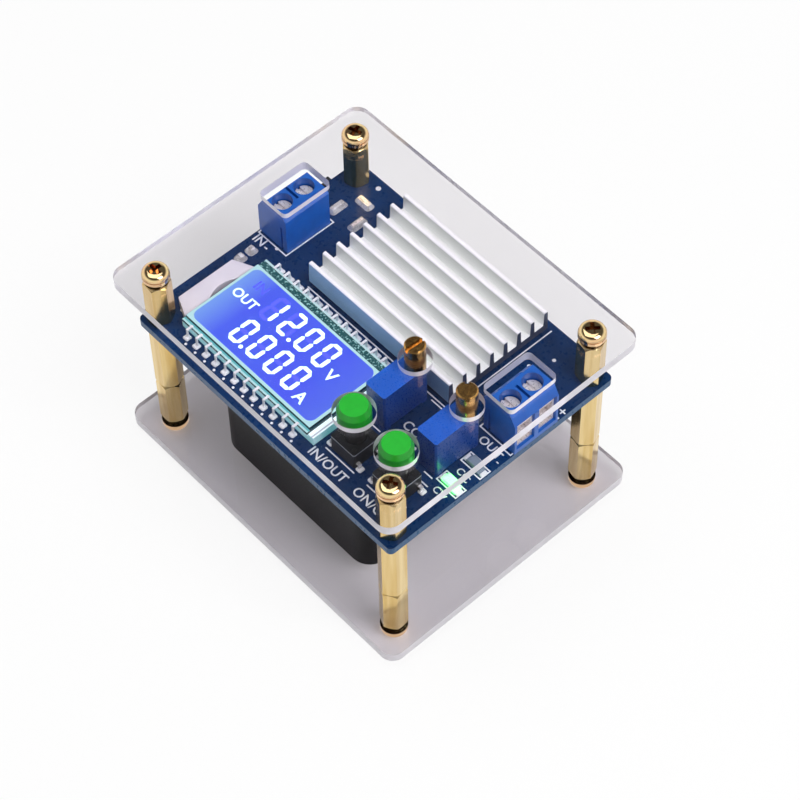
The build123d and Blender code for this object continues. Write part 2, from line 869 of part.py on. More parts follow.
def terminal_body():
    """Housing with shoulders, clamp chambers, screw holes and the slit between poles."""
    back = terminal_front_x - terminal_depth
    top = terminal_height
    corners = [
        (back, 0.0),
        (terminal_front_x, 0.0),
        (terminal_front_x, top - terminal_front_shoulder_drop),
        (terminal_front_x - terminal_front_shoulder, top),
        (back + terminal_back_shoulder, top),
        (back, top - terminal_back_shoulder_drop),
    ]
    half = terminal_pitch
    start = Plane(origin=(0, terminal_centre_y + half, board_top_z), x_dir=(1, 0, 0), z_dir=(0, -1, 0))
    body = extrude(start * make_face(Polyline(*corners, close=True)), amount=2 * half)
    clamp_back = terminal_front_x - terminal_clamp_setback - terminal_clamp_depth
    room = terminal_clamp_width / 2 + terminal_fit_clearance
    for y in terminal_pole_y:
        body -= block(
            clamp_back - terminal_fit_clearance,
            terminal_front_x,
            y - room,
            y + room,
            board_top_z + terminal_floor,
            board_top_z + terminal_clamp_top + terminal_fit_clearance,
        )
        body -= rod(
            terminal_screw_hole_diameter / 2,
            board_top_z + terminal_clamp_top,
            board_top_z + top,
            terminal_screw_x(),
            y,
        )
        pin = terminal_pin_width / 2 + terminal_fit_clearance
        body -= post(2 * pin, 2 * pin, board_top_z, board_top_z + terminal_floor, terminal_screw_x(), y)
        notch = terminal_notch / 2
        body -= block(
            back,
            back + terminal_back_shoulder,
            y - notch,
            y + notch,
            board_top_z + top - terminal_notch,
            board_top_z + top,
        )
    slit_end = terminal_front_x - terminal_front_shoulder
    body -= block(
        slit_end - terminal_slit_length,
        slit_end,
        terminal_centre_y - terminal_slit_width / 2,
        terminal_centre_y + terminal_slit_width / 2,
        board_top_z + top - terminal_slit_depth,
        board_top_z + top,
    )
    groove_x = back + terminal_groove_from_back
    body -= block(
        groove_x,
        groove_x + terminal_groove_width,
        terminal_centre_y - half,
        terminal_centre_y - half + terminal_groove_depth,
        board_top_z,
        board_top_z + terminal_groove_height,
    )
    return body


def terminal_clamp(y):
    """Metal box that the wire enters, with its board pin below."""
    front = terminal_front_x - terminal_clamp_setback
    back = front - terminal_clamp_depth
    half = terminal_clamp_width / 2
    low = board_top_z + terminal_floor
    top = board_top_z + terminal_clamp_top
    box = block(back, front, y - half, y + half, low, top)
    inner = half - terminal_clamp_wall
    box -= block(back, front, y - inner, y + inner, low + terminal_clamp_wall, top - terminal_clamp_roof)
    bore = clamp_screw_diameter / 2 + clamp_screw_clearance
    box -= rod(bore, top - terminal_clamp_roof, top, terminal_screw_x(), y)
    width = terminal_pin_width
    return box + post(width, width, board_z - lead_reach, low, terminal_screw_x(), y)


def clamp_leaf(y):
    """Pressure leaf under the clamp screw, lying near the box's floor."""
    low = board_top_z + terminal_floor + terminal_clamp_wall + clamp_leaf_gap
    inner = terminal_clamp_width / 2 - terminal_clamp_wall - clamp_leaf_clearance
    half = clamp_leaf_length / 2
    middle = terminal_screw_x()
    return block(middle - half, middle + half, y - inner, y + inner, low, low + clamp_leaf_thickness)


def clamp_screw(y):
    """Slotted clamp screw standing on its leaf."""
    leaf_top = board_top_z + terminal_floor + terminal_clamp_wall + clamp_leaf_gap + clamp_leaf_thickness
    head_low = board_top_z + terminal_clamp_top + clamp_head_gap
    head_top = head_low + clamp_head_height
    screw = rod(clamp_screw_diameter / 2, leaf_top, head_low)
    screw += rod(clamp_head_diameter / 2, head_low, head_top)
    screw -= post(clamp_head_diameter, clamp_slot_width, head_top - clamp_slot_depth, head_top, 0.0, 0.0)
    return Pos(terminal_screw_x(), y, 0) * screw


# Supply jack
def jack_tabs():
    """Place and size along X and Y of each tab that passes the board."""
    rear = jack_mouth_x + jack_rear_tab_from_mouth
    middle = jack_mouth_x + jack_middle_tab_from_mouth
    side = jack_mouth_x + jack_side_tab_from_mouth
    return [
        (rear, jack_axis_y, jack_tab_thickness, jack_tab_width),
        (middle, jack_axis_y, jack_tab_thickness, jack_tab_width),
        (side, jack_axis_y + jack_side_tab_from_axis, jack_tab_width, jack_tab_thickness),
    ]


def lying_rod(radius, x_low, x_high):
    """Cylinder along the jack's axis."""
    plane = Plane(origin=(x_low, jack_axis_y, jack_axis_z), x_dir=(0, 1, 0), z_dir=(1, 0, 0))
    return extrude(plane * Circle(radius), amount=x_high - x_low)


def jack_pin():
    """Centre pin and its tab, one piece."""
    rear = jack_tabs()[0]
    x, y, length, width = rear
    bore_end = jack_mouth_x + jack_bore_depth
    pin = lying_rod(jack_pin_diameter / 2, jack_mouth_x + jack_pin_setback, bore_end)
    pin = fillet(pin.edges().group_by(Axis.X)[0], jack_pin_round)
    pin += lying_rod(jack_pin_root_diameter / 2, bore_end, x)
    return pin + post(length, width, jack_axis_z - width / 2, board_top_z + jack_tab_rise, x, y)


def jack_contacts():
    """Sleeve contact and switch contact, upright tabs through the body's roof and side."""
    top = board_top_z + jack_tab_rise
    x, y, length, width = jack_tabs()[1]
    roof = post(length, width, jack_axis_z + jack_bore_diameter / 2, top, x, y)
    x, y, length, width = jack_tabs()[2]
    side = post(length, width, jack_axis_z, top, x, y)
    return [roof, side]


def jack_body():
    """Moulded body with a square mouth, round underside and blind bore."""
    mouth = jack_mouth_x
    rear = mouth + jack_length
    half = jack_width / 2
    flange_end = mouth + jack_flange_length
    body = block(mouth, flange_end, jack_axis_y - half, jack_axis_y + half, board_z - jack_height, board_z)
    body += block(flange_end, rear, jack_axis_y - half, jack_axis_y + half, jack_axis_z, board_z)
    body += lying_rod(half, flange_end, rear)
    body -= lying_rod(jack_bore_diameter / 2, mouth, mouth + jack_bore_depth)
    for metal in [jack_pin()] + jack_contacts():
        body -= metal
    return body


# Fan socket
def header_pin_y():
    """Two pin places of the fan socket."""
    return [header_middle_y - header_pitch / 2, header_middle_y + header_pitch / 2]


def header_shell():
    """Open socket shell pointing down."""
    low = board_z - header_height
    shell = post(header_width, header_length, low, board_z, header_x, header_middle_y)
    inside_x = header_width - 2 * header_wall
    inside_y = header_length - 2 * header_wall
    shell -= post(inside_x, inside_y, low, board_z - header_floor, header_x, header_middle_y)
    for pin in header_pins():
        shell -= pin
    return shell


def header_pins():
    """Square pins of the socket, up through the board."""
    low = board_z - header_height + header_wall
    width = header_pin_width
    return [post(width, width, low, board_top_z + header_pin_rise, header_x, y) for y in header_pin_y()]


# Components under the board
def inductor():
    """Shielded power coil."""
    coil = post(inductor_side, inductor_side, board_z - inductor_height, board_z, inductor_x, inductor_y)
    return chamfer(coil.edges().filter_by(Axis.Z), inductor_chamfer)


def capacitor(y):
    """Surface can on a square base with two cut corners."""
    radius = capacitor_diameter / 2
    low = board_z - capacitor_height
    base_low = board_z - capacitor_base_height
    base = post(capacitor_base_side, capacitor_base_side, base_low, board_z, capacitor_x, y)
    outer_corners = base.edges().filter_by(Axis.Z).group_by(Axis.X)[-1]
    base = chamfer(outer_corners, capacitor_base_chamfer)
    can = rod(radius, low, base_low, capacitor_x, y)
    can = fillet(can.edges().group_by(Axis.Z)[0], capacitor_round)
    groove_top = board_z - capacitor_groove_drop
    groove_low = groove_top - capacitor_groove
    ring = rod(radius, groove_low, groove_top, capacitor_x, y)
    ring -= rod(radius - capacitor_groove, groove_low, groove_top, capacitor_x, y)
    return base + (can - ring)


def control_chip(x, y):
    """Small package with two rows of bent leads, under the board."""
    top = board_z - chip_lift
    chip = post(chip_length, chip_width, top - chip_height, top, x, y)
    reach = chip_width / 2 + chip_lead_reach
    middle_z = top - chip_height / 2
    for index in range(chip_lead_count):
        lead_x = x + (index - (chip_lead_count - 1) / 2) * chip_lead_pitch
        half = chip_lead_width / 2
        thick = chip_lead_thickness
        chip += block(lead_x - half, lead_x + half, y - reach, y + reach, middle_z - thick, middle_z)
        for side in (-1, 1):
            foot = y + side * (reach - thick / 2)
            chip += post(chip_lead_width, thick, middle_z, board_z, lead_x, foot)
    return chip


# Small parts on top of the board
def lamp(y):
    """Surface lamp with a lens between its two end contacts."""
    base = post(lamp_length, lamp_width, board_top_z, board_top_z + lamp_height / 2, lamp_x, y)
    lens_length = lamp_length - 2 * lamp_step
    return base + post(lens_length, lamp_width, board_top_z, board_top_z + lamp_height, lamp_x, y)


def solder_outline(length, width, margin):
    """Outline of the solder at one level, round a tab or pin."""
    return RectangleRounded(length + 2 * margin, width + 2 * margin, margin * solder_corner_share)


def solder_cone(length, width, x, y):
    """Solder collar round a tab or pin that stands out of the board's top."""
    low = Pos(x, y, board_top_z) * solder_outline(length, width, solder_flare)
    high = Pos(x, y, board_top_z + solder_height) * solder_outline(length, width, solder_crest)
    collar = loft([low, high])
    return collar - post(length, width, board_top_z, board_top_z + solder_height, x, y)


def solder_joints():
    """Solder of the jack's tabs and of the fan socket's pins."""
    joints = [solder_cone(length, width, x, y) for x, y, length, width in jack_tabs()]
    joints += [solder_cone(header_pin_width, header_pin_width, header_x, y) for y in header_pin_y()]
    return group(joints)


# Plates, columns and board
save(clear_plate(lower_plate_z, lower_openings()), "bottom_plate")
save(clear_plate(upper_plate_z, upper_openings()), "top_plate")
save(on_columns(column_screw(), upper_plate_top_z), "top_screws")
save(on_columns(Rot(180, 0, 0) * column_screw(), lower_plate_z), "bottom_screws")
lower_standoff = studded_standoff(lower_standoff_length, shank_reach, stud_length)
save(on_columns(lower_standoff, plate_top_z), "lower_standoffs")
middle_standoff = studded_standoff(middle_standoff_length, stud_length, board_thickness + stud_length)
save(on_columns(middle_standoff, middle_standoff_z), "middle_standoffs")
save(on_columns(plain_standoff(upper_standoff_length), board_top_z), "upper_standoffs")
save(circuit_board(), "circuit_board")

# Fan
save(fan_frame(), "fan_frame")
save(fan_rotor(), "fan_rotor")
save(fan_stator(), "fan_stator")
save(fan_screws(), "fan_screws")
save(fan_nuts(), "fan_nuts")

# Heatsink
save(heatsink(), "heatsink")
save(power_transistors(), "power_transistors")
save(thermal_pad(), "thermal_pad")

# Display
save(display_glass(), "display_glass")
save(display_film(), "display_film")
save(display_light_box(), "display_light_box")
save(display_pins(), "display_pins")

# Buttons
for number, centre_x in enumerate(button_x, start=1):
    place = Pos(centre_x, button_y, board_top_z)
    save(place * switch_base(), f"button_{number}_switch")
    save(place * switch_cover(), f"button_{number}_cover")
    save(group([place * lead for lead in switch_leads()]), f"button_{number}_leads")
    save(place * switch_plunger(), f"button_{number}_plunger")
    save(place * button_cap(), f"button_{number}_cap")

# Trimmers
for number, (screw_x, slot_turn) in enumerate(zip(trimmer_screw_x, trimmer_slot_turn), start=1):
    save(trimmer_body(screw_x), f"trimmer_{number}_body")
    save(trimmer_screw(screw_x, slot_turn), f"trimmer_{number}_screw")
    save(group(trimmer_leads(screw_x)), f"trimmer_{number}_leads")

# Terminals
for terminal_name, side in (("input", -1), ("output", 1)):
    save(facing(terminal_body(), side), f"{terminal_name}_terminal_body")
    clamps = group([facing(terminal_clamp(y), side) for y in terminal_pole_y])
    save(clamps, f"{terminal_name}_terminal_clamps")
    for number, y in enumerate(terminal_pole_y, start=1):
        save(facing(clamp_leaf(y), side), f"{terminal_name}_leaf_{number}")
        save(facing(clamp_screw(y), side), f"{terminal_name}_screw_{number}")

# Jack and fan socket
save(jack_body(), "dc_jack_body")
save(jack_pin(), "dc_jack_pin")
save(group(jack_contacts()), "dc_jack_contacts")
save(header_shell(), "fan_socket")
save(group(header_pins()), "fan_socket_pins")

# Other components
save(inductor(), "power_inductor")
save(group([capacitor(y) for y in capacitor_y]), "capacitors")
save(group([control_chip(x, y) for x, y in chip_places]), "control_chips")
save(group([lamp(y) for y in lamp_y]), "status_lamps")
save(solder_joints(), "solder_joints")
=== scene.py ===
import math

import bmesh
import bpy
from bpy.props import FloatProperty, FloatVectorProperty, PointerProperty
from mathutils import Matrix, Vector


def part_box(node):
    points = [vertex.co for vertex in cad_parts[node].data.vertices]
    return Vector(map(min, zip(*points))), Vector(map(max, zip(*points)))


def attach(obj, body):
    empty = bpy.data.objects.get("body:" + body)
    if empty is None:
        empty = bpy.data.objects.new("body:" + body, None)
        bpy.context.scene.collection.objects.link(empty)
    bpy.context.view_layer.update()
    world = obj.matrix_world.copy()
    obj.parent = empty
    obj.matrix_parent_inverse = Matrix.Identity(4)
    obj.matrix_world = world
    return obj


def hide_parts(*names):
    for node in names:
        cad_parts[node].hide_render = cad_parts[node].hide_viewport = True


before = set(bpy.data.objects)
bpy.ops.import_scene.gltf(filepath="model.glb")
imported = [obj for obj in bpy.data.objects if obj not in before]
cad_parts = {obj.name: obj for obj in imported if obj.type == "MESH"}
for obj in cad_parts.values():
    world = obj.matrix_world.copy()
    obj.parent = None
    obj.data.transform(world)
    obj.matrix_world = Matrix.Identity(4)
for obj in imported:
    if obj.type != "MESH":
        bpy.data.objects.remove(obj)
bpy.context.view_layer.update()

bl_info = {
    "name": "Voltage Regulator Module",
    "version": (1, 0, 0),
    "blender": (4, 5, 0),
    "location": "3D View > Sidebar > Module",
    "description": "Finishes, board print, display figures and studio for a regulator module",
    "category": "Object",
}

MM = 0.001
BODY = "module"
# A capital of the plain face is this share of its nominal size
CAPITAL_HEIGHT = 0.73

# Columns and levels that the print and the solder follow, in millimetres
DISPLAY_PIN_X = [-23.17 + 2.54 * i for i in range(12)]
DISPLAY_PIN_Y = (-22.6, -1.3)
BUTTON_X = (14.2, 24.6)
BUTTON_Y = -16.8
LAMP_X = 30.4
LAMP_Y = (-9.8, -4.2)

# Print on the board, in millimetres: lowest and highest x and y of a frame, ends of a line
LAMP_FRAMES = ((27.9, 32.8, -11.1, -8.5), (27.9, 32.8, -5.5, -2.9))
PRINTED_LINES = (
    ((-17.2, 0.05), (18.6, 0.05)),
    ((18.95, 0.2), (18.95, 24.6)),
    ((10.7, -20.4), (17.7, -20.4)),
    ((21.1, -20.4), (28.1, -20.4)),
    ((10.7, -13.2), (17.7, -13.2)),
    ((21.1, -13.2), (28.1, -13.2)),
    ((11.8, -11.5), (14.4, -11.5)),
    ((25.6, -11.5), (27.4, -11.5)),
    ((15.6, -0.6), (20.3, -0.6)),
)
# Solder lands, in millimetres: width and depth, and places from the middle of their part
BACK_LAND = (1.5, 1.4)
FRONT_LAND = (1.3, 1.3)
FRONT_LAND_SHIFT = -0.15
BUTTON_LAND = (1.3, 1.3)
BUTTON_LAND_PLACE = (3.7, 2.3)
LAMP_LAND = (0.8, 1.5)
LAMP_LAND_PLACE = 1.9

# Plated holes, in millimetres: place and radius; the test points stand by the display's pins
VIA_RISE = 0.05
TEST_POINT_RADIUS = 0.25
TEST_POINT_SHIFT = (0.9, -1.25)
VIAS = (
    (-25.5, 24.2, 0.5),
    (-28.4, -19.5, 0.4),
    (-27.5, 1.6, 0.35),
    (20.6, -9.2, 0.35),
    (23.8, 20.6, 0.35),
    (21.3, 17.0, 0.35),
)

# Left end of the first numeral, and the rows: middle, numerals, place of the point
NUMERALS_LEFT = -17.2
NUMERAL_ROWS = ((-8.85, "1200", 1), (-15.85, "0000", 0))
POINT_RADIUS = 0.42

# Lit bars of each numeral: top, upper right, lower right, bottom, lower left, upper left, middle
NUMERAL_BARS = {
    "0": "abcdef",
    "1": "bc",
    "2": "abdeg",
    "8": "abcdefg",
}
# Place of each bar: share of the numeral's width and of half its height, and if it is upright
BAR_PLACES = {
    "a": (0.0, 1.0, False),
    "b": (0.5, 0.5, True),
    "c": (0.5, -0.5, True),
    "d": (0.0, -1.0, False),
    "e": (-0.5, -0.5, True),
    "f": (-0.5, 0.5, True),
    "g": (0.0, 0.0, False),
}


def linear(code):
    """Linear red, green and blue of an sRGB hex colour."""
    parts = [int(code[i : i + 2], 16) / 255 for i in (1, 3, 5)]
    return tuple(p / 12.92 if p <= 0.04045 else ((p + 0.055) / 1.055) ** 2.4 for p in parts)


def rgba(colour):
    """Colour of a property with full cover, as a node socket takes it."""
    return (colour[0], colour[1], colour[2], 1.0)


def direction(turn, lift):
    """Unit vector that points away from the middle at an angle round and an angle up."""
    return Vector(
        (math.sin(turn) * math.cos(lift), -math.cos(turn) * math.cos(lift), math.sin(lift))
    )


def length(name, description, default):
    """Length property whose default is given in millimetres."""
    return FloatProperty(
        name=name, description=description, default=default * MM, unit="LENGTH", precision=5
    )


def colour(name, description, default):
    """Colour property whose default is given as sRGB hex."""
    return FloatVectorProperty(
        name=name,
        description=description,
        default=linear(default),
        subtype="COLOR",
        min=0.0,
        max=1.0,
    )


# Settings that a user would change


class PlateSettings(bpy.types.PropertyGroup):
    """Clear plates and the columns between them."""

    upper_tint: colour("Upper tint", "Colour that the upper acrylic sheet passes", "#f9f7fa")
    # Painted shade: the lower tint is darker than the upper one, standing in for the assembly's
    # shadow under the lower sheet
    lower_tint_and_shade: colour("Lower tint and shade", "Colour that the lower acrylic sheet passes", "#e6e3e7")
    edge: colour("Cut edge", "Frosted face that the laser leaves", "#f4f0f8")
    brass: colour("Brass", "Drawn brass of the standoffs", "#ead19a")
    brass_dark: colour("Tarnished brass", "Brass where it has tarnished", "#d6b470")
    gilt: colour("Plated screw", "Brass plating of the column screws", "#ecc495")
    # Painted shade: the darker brown given to the recess walls of the screws
    gilt_recess_shade: colour("Recess shade", "Plating in the recess of a screw", "#a8693a")
    solid_corner: length("Corner of the solid", "Corner radius of the packed plates", 5.5)
    corner: length("Corner", "Corner radius that the plates are shown with", 2.7)


class BoardSettings(bpy.types.PropertyGroup):
    """Circuit board, its print and its solder."""

    mask: colour("Solder mask", "Blue lacquer over the copper", "#06305f")
    mask_dark: colour("Solder mask, bare", "Blue lacquer over the bare laminate", "#052852")
    laminate: colour("Laminate", "Sawn edge of the board", "#1d4d77")
    ink: colour("Ink", "White marking ink", "#fbfdff")
    tin: colour("Tin", "Tinned copper and solder", "#f2f2f4")
    tin_dark: colour("Dull tin", "Solder where it has frosted", "#bfbdbd")
    line_width: length("Line width", "Width of a printed line", 0.25)
    ink_thickness: length("Ink thickness", "Height of the print above the lacquer", 0.03)
    letter_height: length("Letter height", "Height of the larger letters", 1.9)
    small_letter_height: length("Small letter height", "Height of the letters by the lamps", 1.4)
    land_rise: length("Solder rise", "Height of a solder land", 0.3)


class DisplaySettings(bpy.types.PropertyGroup):
    """Lit display and its figures."""

    backlight: colour("Backlight", "Blue of the lit field", "#4b5cff")
    backlight_pale: colour("Backlight, lamp end", "Blue next to the lamps", "#7cacff")
    figure: colour("Figures", "Pale light of the figures", "#dcfbf8")
    shade: colour("Unlit figures", "Faint shade of the bars that are off", "#4650ee")
    numeral_height: length("Numeral height", "Height of a numeral over its outer edges", 5.9)
    numeral_width: length("Numeral width", "Width of a numeral over its outer edges", 2.95)
    numeral_pitch: length("Numeral pitch", "Spacing of the numerals", 4.53)
    bar_width: length("Bar width", "Width of one bar of a numeral", 0.75)
    bar_gap: length("Bar gap", "Gap between two bars that meet", 0.08)
    figure_thickness: length("Figure thickness", "Height of the figures above the film", 0.03)
    slant: FloatProperty(
        name="Slant",
        description="Lean of the numerals",
        default=math.radians(2.0),
        subtype="ANGLE",
    )


class StudioSettings(bpy.types.PropertyGroup):
    """Camera, lamps and floor."""

    azimuth: FloatProperty(
        name="Azimuth",
        description="Turn of the camera about the upright",
        default=math.radians(48.660),
        subtype="ANGLE",
    )
    elevation: FloatProperty(
        name="Elevation",
        description="Height of the camera above the horizon",
        default=math.radians(54.537),
        subtype="ANGLE",
    )
    roll: FloatProperty(
        name="Roll",
        description="Turn of the camera about its own axis",
        default=math.radians(-1.233),
        subtype="ANGLE",
    )
    distance: length("Distance", "From the camera to the middle of the view", 496.669)
    aside: length("Aside", "Sideways place of the camera", 4.232)
    above: length("Above", "Upward place of the camera", 8.597)
    lens: FloatProperty(
        name="Lens", description="Focal length in millimetres", default=122.056, min=1.0
    )
    ambient: FloatProperty(
        name="Ambient", description="Strength of the even light", default=0.28, min=0.0
    )
    ceiling: FloatProperty(
        name="Ceiling",
        description="Strength of the dim ceiling in reflections",
        default=0.09,
        min=0.0,
    )
    key_power: FloatProperty(
        name="Key lamp", description="Power of the main soft lamp", default=4.3, unit="POWER"
    )
    fill_power: FloatProperty(
        name="Fill lamp", description="Power of the soft lamp overhead", default=3.5, unit="POWER"
    )


# Shaders


def add_node(material, kind, values=None, links=None, **settings):
    """Add one node with its settings, its socket values and its incoming links."""
    tree = material.node_tree
    node = tree.nodes.new(kind)
    for name, value in settings.items():
        setattr(node, name, value)
    for socket, value in (values or {}).items():
        node.inputs[socket].default_value = value
    for socket, source in (links or {}).items():
        tree.links.new(source, node.inputs[socket])
    return node


def find_node(material, kind):
    """The only node of its kind in a material."""
    (found,) = (node for node in material.node_tree.nodes if node.bl_idname == kind)
    return found


def surface_places(material, object_place):
    """Place, facing and slope of the surface on each axis, which layers can follow."""
    geometry = add_node(material, "ShaderNodeNewGeometry")
    slope = add_node(
        material,
        "ShaderNodeVectorMath",
        links={0: geometry.outputs["True Normal"]},
        operation="ABSOLUTE",
    )
    places = {}
    for kind, vector in (
        ("place", object_place),
        ("facing", geometry.outputs["True Normal"]),
        ("slope", slope.outputs["Vector"]),
    ):
        parts = add_node(material, "ShaderNodeSeparateXYZ", links={"Vector": vector})
        for axis in "XYZ":
            places[f"{kind}_{axis.lower()}"] = parts.outputs[axis]
    return places


def lay_over(material, socket, laid, followed, rows):
    """Lay the rows of one socket over what is there; the result goes into the socket."""
    is_colour = socket.type == "RGBA"
    below, above, out = (6, 7, 2) if is_colour else (2, 3, 0)
    result = laid.get(socket.name)
    for what, start, full, value in rows:
        unit = MM if what.startswith("place") else 1.0
        mask = add_node(
            material,
            "ShaderNodeMapRange",
            {"From Min": start * unit, "From Max": full * unit},
            {"Value": followed[what]},
        )
        covered = {above: rgba(value) if is_colour else value}
        linked = {0: mask.outputs["Result"]}
        if result is not None:
            linked[below] = result
        else:
            covered[below] = tuple(socket.default_value) if is_colour else socket.default_value
        mixed = add_node(
            material,
            "ShaderNodeMix",
            covered,
            linked,
            data_type="RGBA" if is_colour else "FLOAT",
        )
        result = mixed.outputs[out]
    return result


def surface_material(
    name,
    colours,
    grain_mm,
    roughness,
    spread=0.06,
    depth_mm=0.0,
    stretch=(1.0, 1.0, 1.0),
    layers=None,
    **sockets,
):
    """Material with two near colours, uneven gloss, a fine relief and layers over its sockets.

    The layers are listed by socket. Each names what it follows, the values at which it starts
    and is full, and what it lays there. It follows a place on an axis in millimetres, the
    facing or the slope of the surface on an axis, or the fine or broad grain of the material.
    """
    material = bpy.data.materials.new(name)
    material.use_nodes = True
    material.node_tree.nodes.clear()
    values = {socket.replace("_", " "): value for socket, value in sockets.items()}
    shader = add_node(material, "ShaderNodeBsdfPrincipled", values)
    add_node(material, "ShaderNodeOutputMaterial", links={"Surface": shader.outputs["BSDF"]})

    coordinates = add_node(material, "ShaderNodeTexCoord")
    mapping = add_node(
        material,
        "ShaderNodeMapping",
        {"Scale": stretch},
        {"Vector": coordinates.outputs["Object"]},
    )
    fine, broad = (
        add_node(
            material,
            "ShaderNodeTexNoise",
            {"Scale": 1 / (size * MM), "Detail": 2.0, "Roughness": 0.55},
            {"Vector": mapping.outputs["Vector"]},
        ).outputs["Fac"]
        for size in (grain_mm, 8 * grain_mm)
    )
    share = add_node(
        material, "ShaderNodeMapRange", {"From Min": 0.35, "From Max": 0.65}, {"Value": broad}
    )
    base = add_node(
        material,
        "ShaderNodeMix",
        {6: rgba(colours[0]), 7: rgba(colours[1])},
        {0: share.outputs["Result"]},
        data_type="RGBA",
    )
    gloss = add_node(
        material,
        "ShaderNodeMapRange",
        {
            "From Min": 0.3,
            "From Max": 0.7,
            "To Min": max(roughness - spread, 0.0),
            "To Max": roughness + spread,
        },
        {"Value": fine},
    )
    laid = {"Base Color": base.outputs[2], "Roughness": gloss.outputs["Result"]}
    if depth_mm:
        relief = add_node(
            material, "ShaderNodeBump", {"Distance": depth_mm * MM}, {"Height": fine}
        )
        laid["Normal"] = relief.outputs["Normal"]

    if layers:
        followed = {"fine": fine, "broad": broad}
        followed.update(surface_places(material, coordinates.outputs["Object"]))
        for socket, rows in layers.items():
            laid[socket] = lay_over(material, shader.inputs[socket], laid, followed, rows)
    for socket, source in laid.items():
        material.node_tree.links.new(source, shader.inputs[socket])
    return material


# Finishes of the plates and the board


def acrylic_material(name, tint, edge):
    """Cast acrylic sheet, cut by laser: glass-clear faces that pass light, pale cut edges."""
    # Protective paper leaves faint cloudy marks, a few centimetres across
    faint = tuple(channel * 0.985 for channel in tint)
    material = surface_material(
        name,
        (tint, faint),
        grain_mm=4.0,
        roughness=0.006,
        spread=0.006,
        layers={
            "Base Color": [("slope_z", 0.6, 0.4, edge)],
            "Roughness": [("slope_z", 0.6, 0.4, 0.32)],
            "Transmission Weight": [("slope_z", 0.6, 0.4, 0.3)],
        },
        IOR=1.49,
        Transmission_Weight=1.0,
    )
    path = add_node(material, "ShaderNodeLightPath")
    clear = add_node(material, "ShaderNodeBsdfTransparent", {"Color": rgba(tint)})
    both = add_node(
        material,
        "ShaderNodeMixShader",
        links={
            0: path.outputs["Is Shadow Ray"],
            1: find_node(material, "ShaderNodeBsdfPrincipled").outputs["BSDF"],
            2: clear.outputs["BSDF"],
        },
    )
    output = find_node(material, "ShaderNodeOutputMaterial")
    material.node_tree.links.new(both.outputs["Shader"], output.inputs["Surface"])
    return material


def brass_material(settings):
    """Drawn hexagonal brass: fine lines along the bar under a broad, faint tarnish."""
    # The drawing lines are a few hundredths wide; they are drawn at 0.2 mm so that they show
    return surface_material(
        "drawn_brass",
        (settings.brass, settings.brass_dark),
        grain_mm=0.2,
        roughness=0.17,
        spread=0.05,
        depth_mm=0.002,
        stretch=(1.0, 1.0, 0.06),
        Metallic=1.0,
    )


def gilt_material(settings):
    """Brass-plated steel screw: brighter and redder than the bars, painted darker brown on the
    recess walls as shade.
    """
    recess_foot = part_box("top_screws")[1].z / MM - 1.3
    return surface_material(
        "brass_plated_steel",
        (settings.gilt, settings.brass),
        grain_mm=0.3,
        roughness=0.1,
        spread=0.04,
        depth_mm=0.002,
        layers={
            "Base Color": [
                # Painted shade: upright faces in the top 1.3 mm of the heads, the recess walls
                # among them, are darker brown
                ("slope_z", 0.25, 0.05, settings.gilt_recess_shade),
                ("place_z", recess_foot, recess_foot - 0.1, settings.gilt),
            ]
        },
        Metallic=1.0,
    )


def solder_mask_material(settings):
    """Blue lacquer over glass-fibre laminate: glossy, with copper fields and a faint weave."""
    material = surface_material(
        "solder_mask",
        (settings.mask_dark, settings.mask),
        grain_mm=0.75,
        roughness=0.3,
        spread=0.05,
        layers={"Base Color": [("slope_z", 0.6, 0.4, settings.laminate)]},
        Specular_IOR_Level=0.25,
    )
    coordinates = add_node(material, "ShaderNodeTexCoord")
    # The cloth under the lacquer has two threads a millimetre
    waves = [
        add_node(
            material,
            "ShaderNodeTexWave",
            {"Scale": 0.314 / (0.5 * MM), "Distortion": 0.6, "Detail": 1.0},
            {"Vector": coordinates.outputs["Object"]},
            wave_type="BANDS",
            bands_direction=direction,
        )
        for direction in ("X", "Y")
    ]
    weave = add_node(
        material,
        "ShaderNodeMath",
        links={0: waves[0].outputs["Fac"], 1: waves[1].outputs["Fac"]},
        operation="MULTIPLY",
    )
    relief = add_node(
        material,
        "ShaderNodeBump",
        {"Distance": 0.01 * MM, "Strength": 0.15},
        {"Height": weave.outputs["Value"]},
    )
    shader = find_node(material, "ShaderNodeBsdfPrincipled")
    material.node_tree.links.new(relief.outputs["Normal"], shader.inputs["Normal"])
    return material


def tin_material(settings):
    """Reflowed tin: bright and rounded, with a slightly frosted skin."""
    return surface_material(
        "reflowed_tin",
        (settings.tin, settings.tin_dark),
        grain_mm=0.12,
        roughness=0.22,
        spread=0.08,
        depth_mm=0.006,
        Metallic=0.5,
    )


def land_material():
    """Hot-air levelled tin on the lands: whiter and flatter than a solder joint."""
    return surface_material(
        "levelled_tin",
        (linear("#fbfcfe"), linear("#eceef2")),
        grain_mm=0.2,
        roughness=0.3,
        spread=0.08,
        depth_mm=0.004,
        Metallic=0.05,
    )


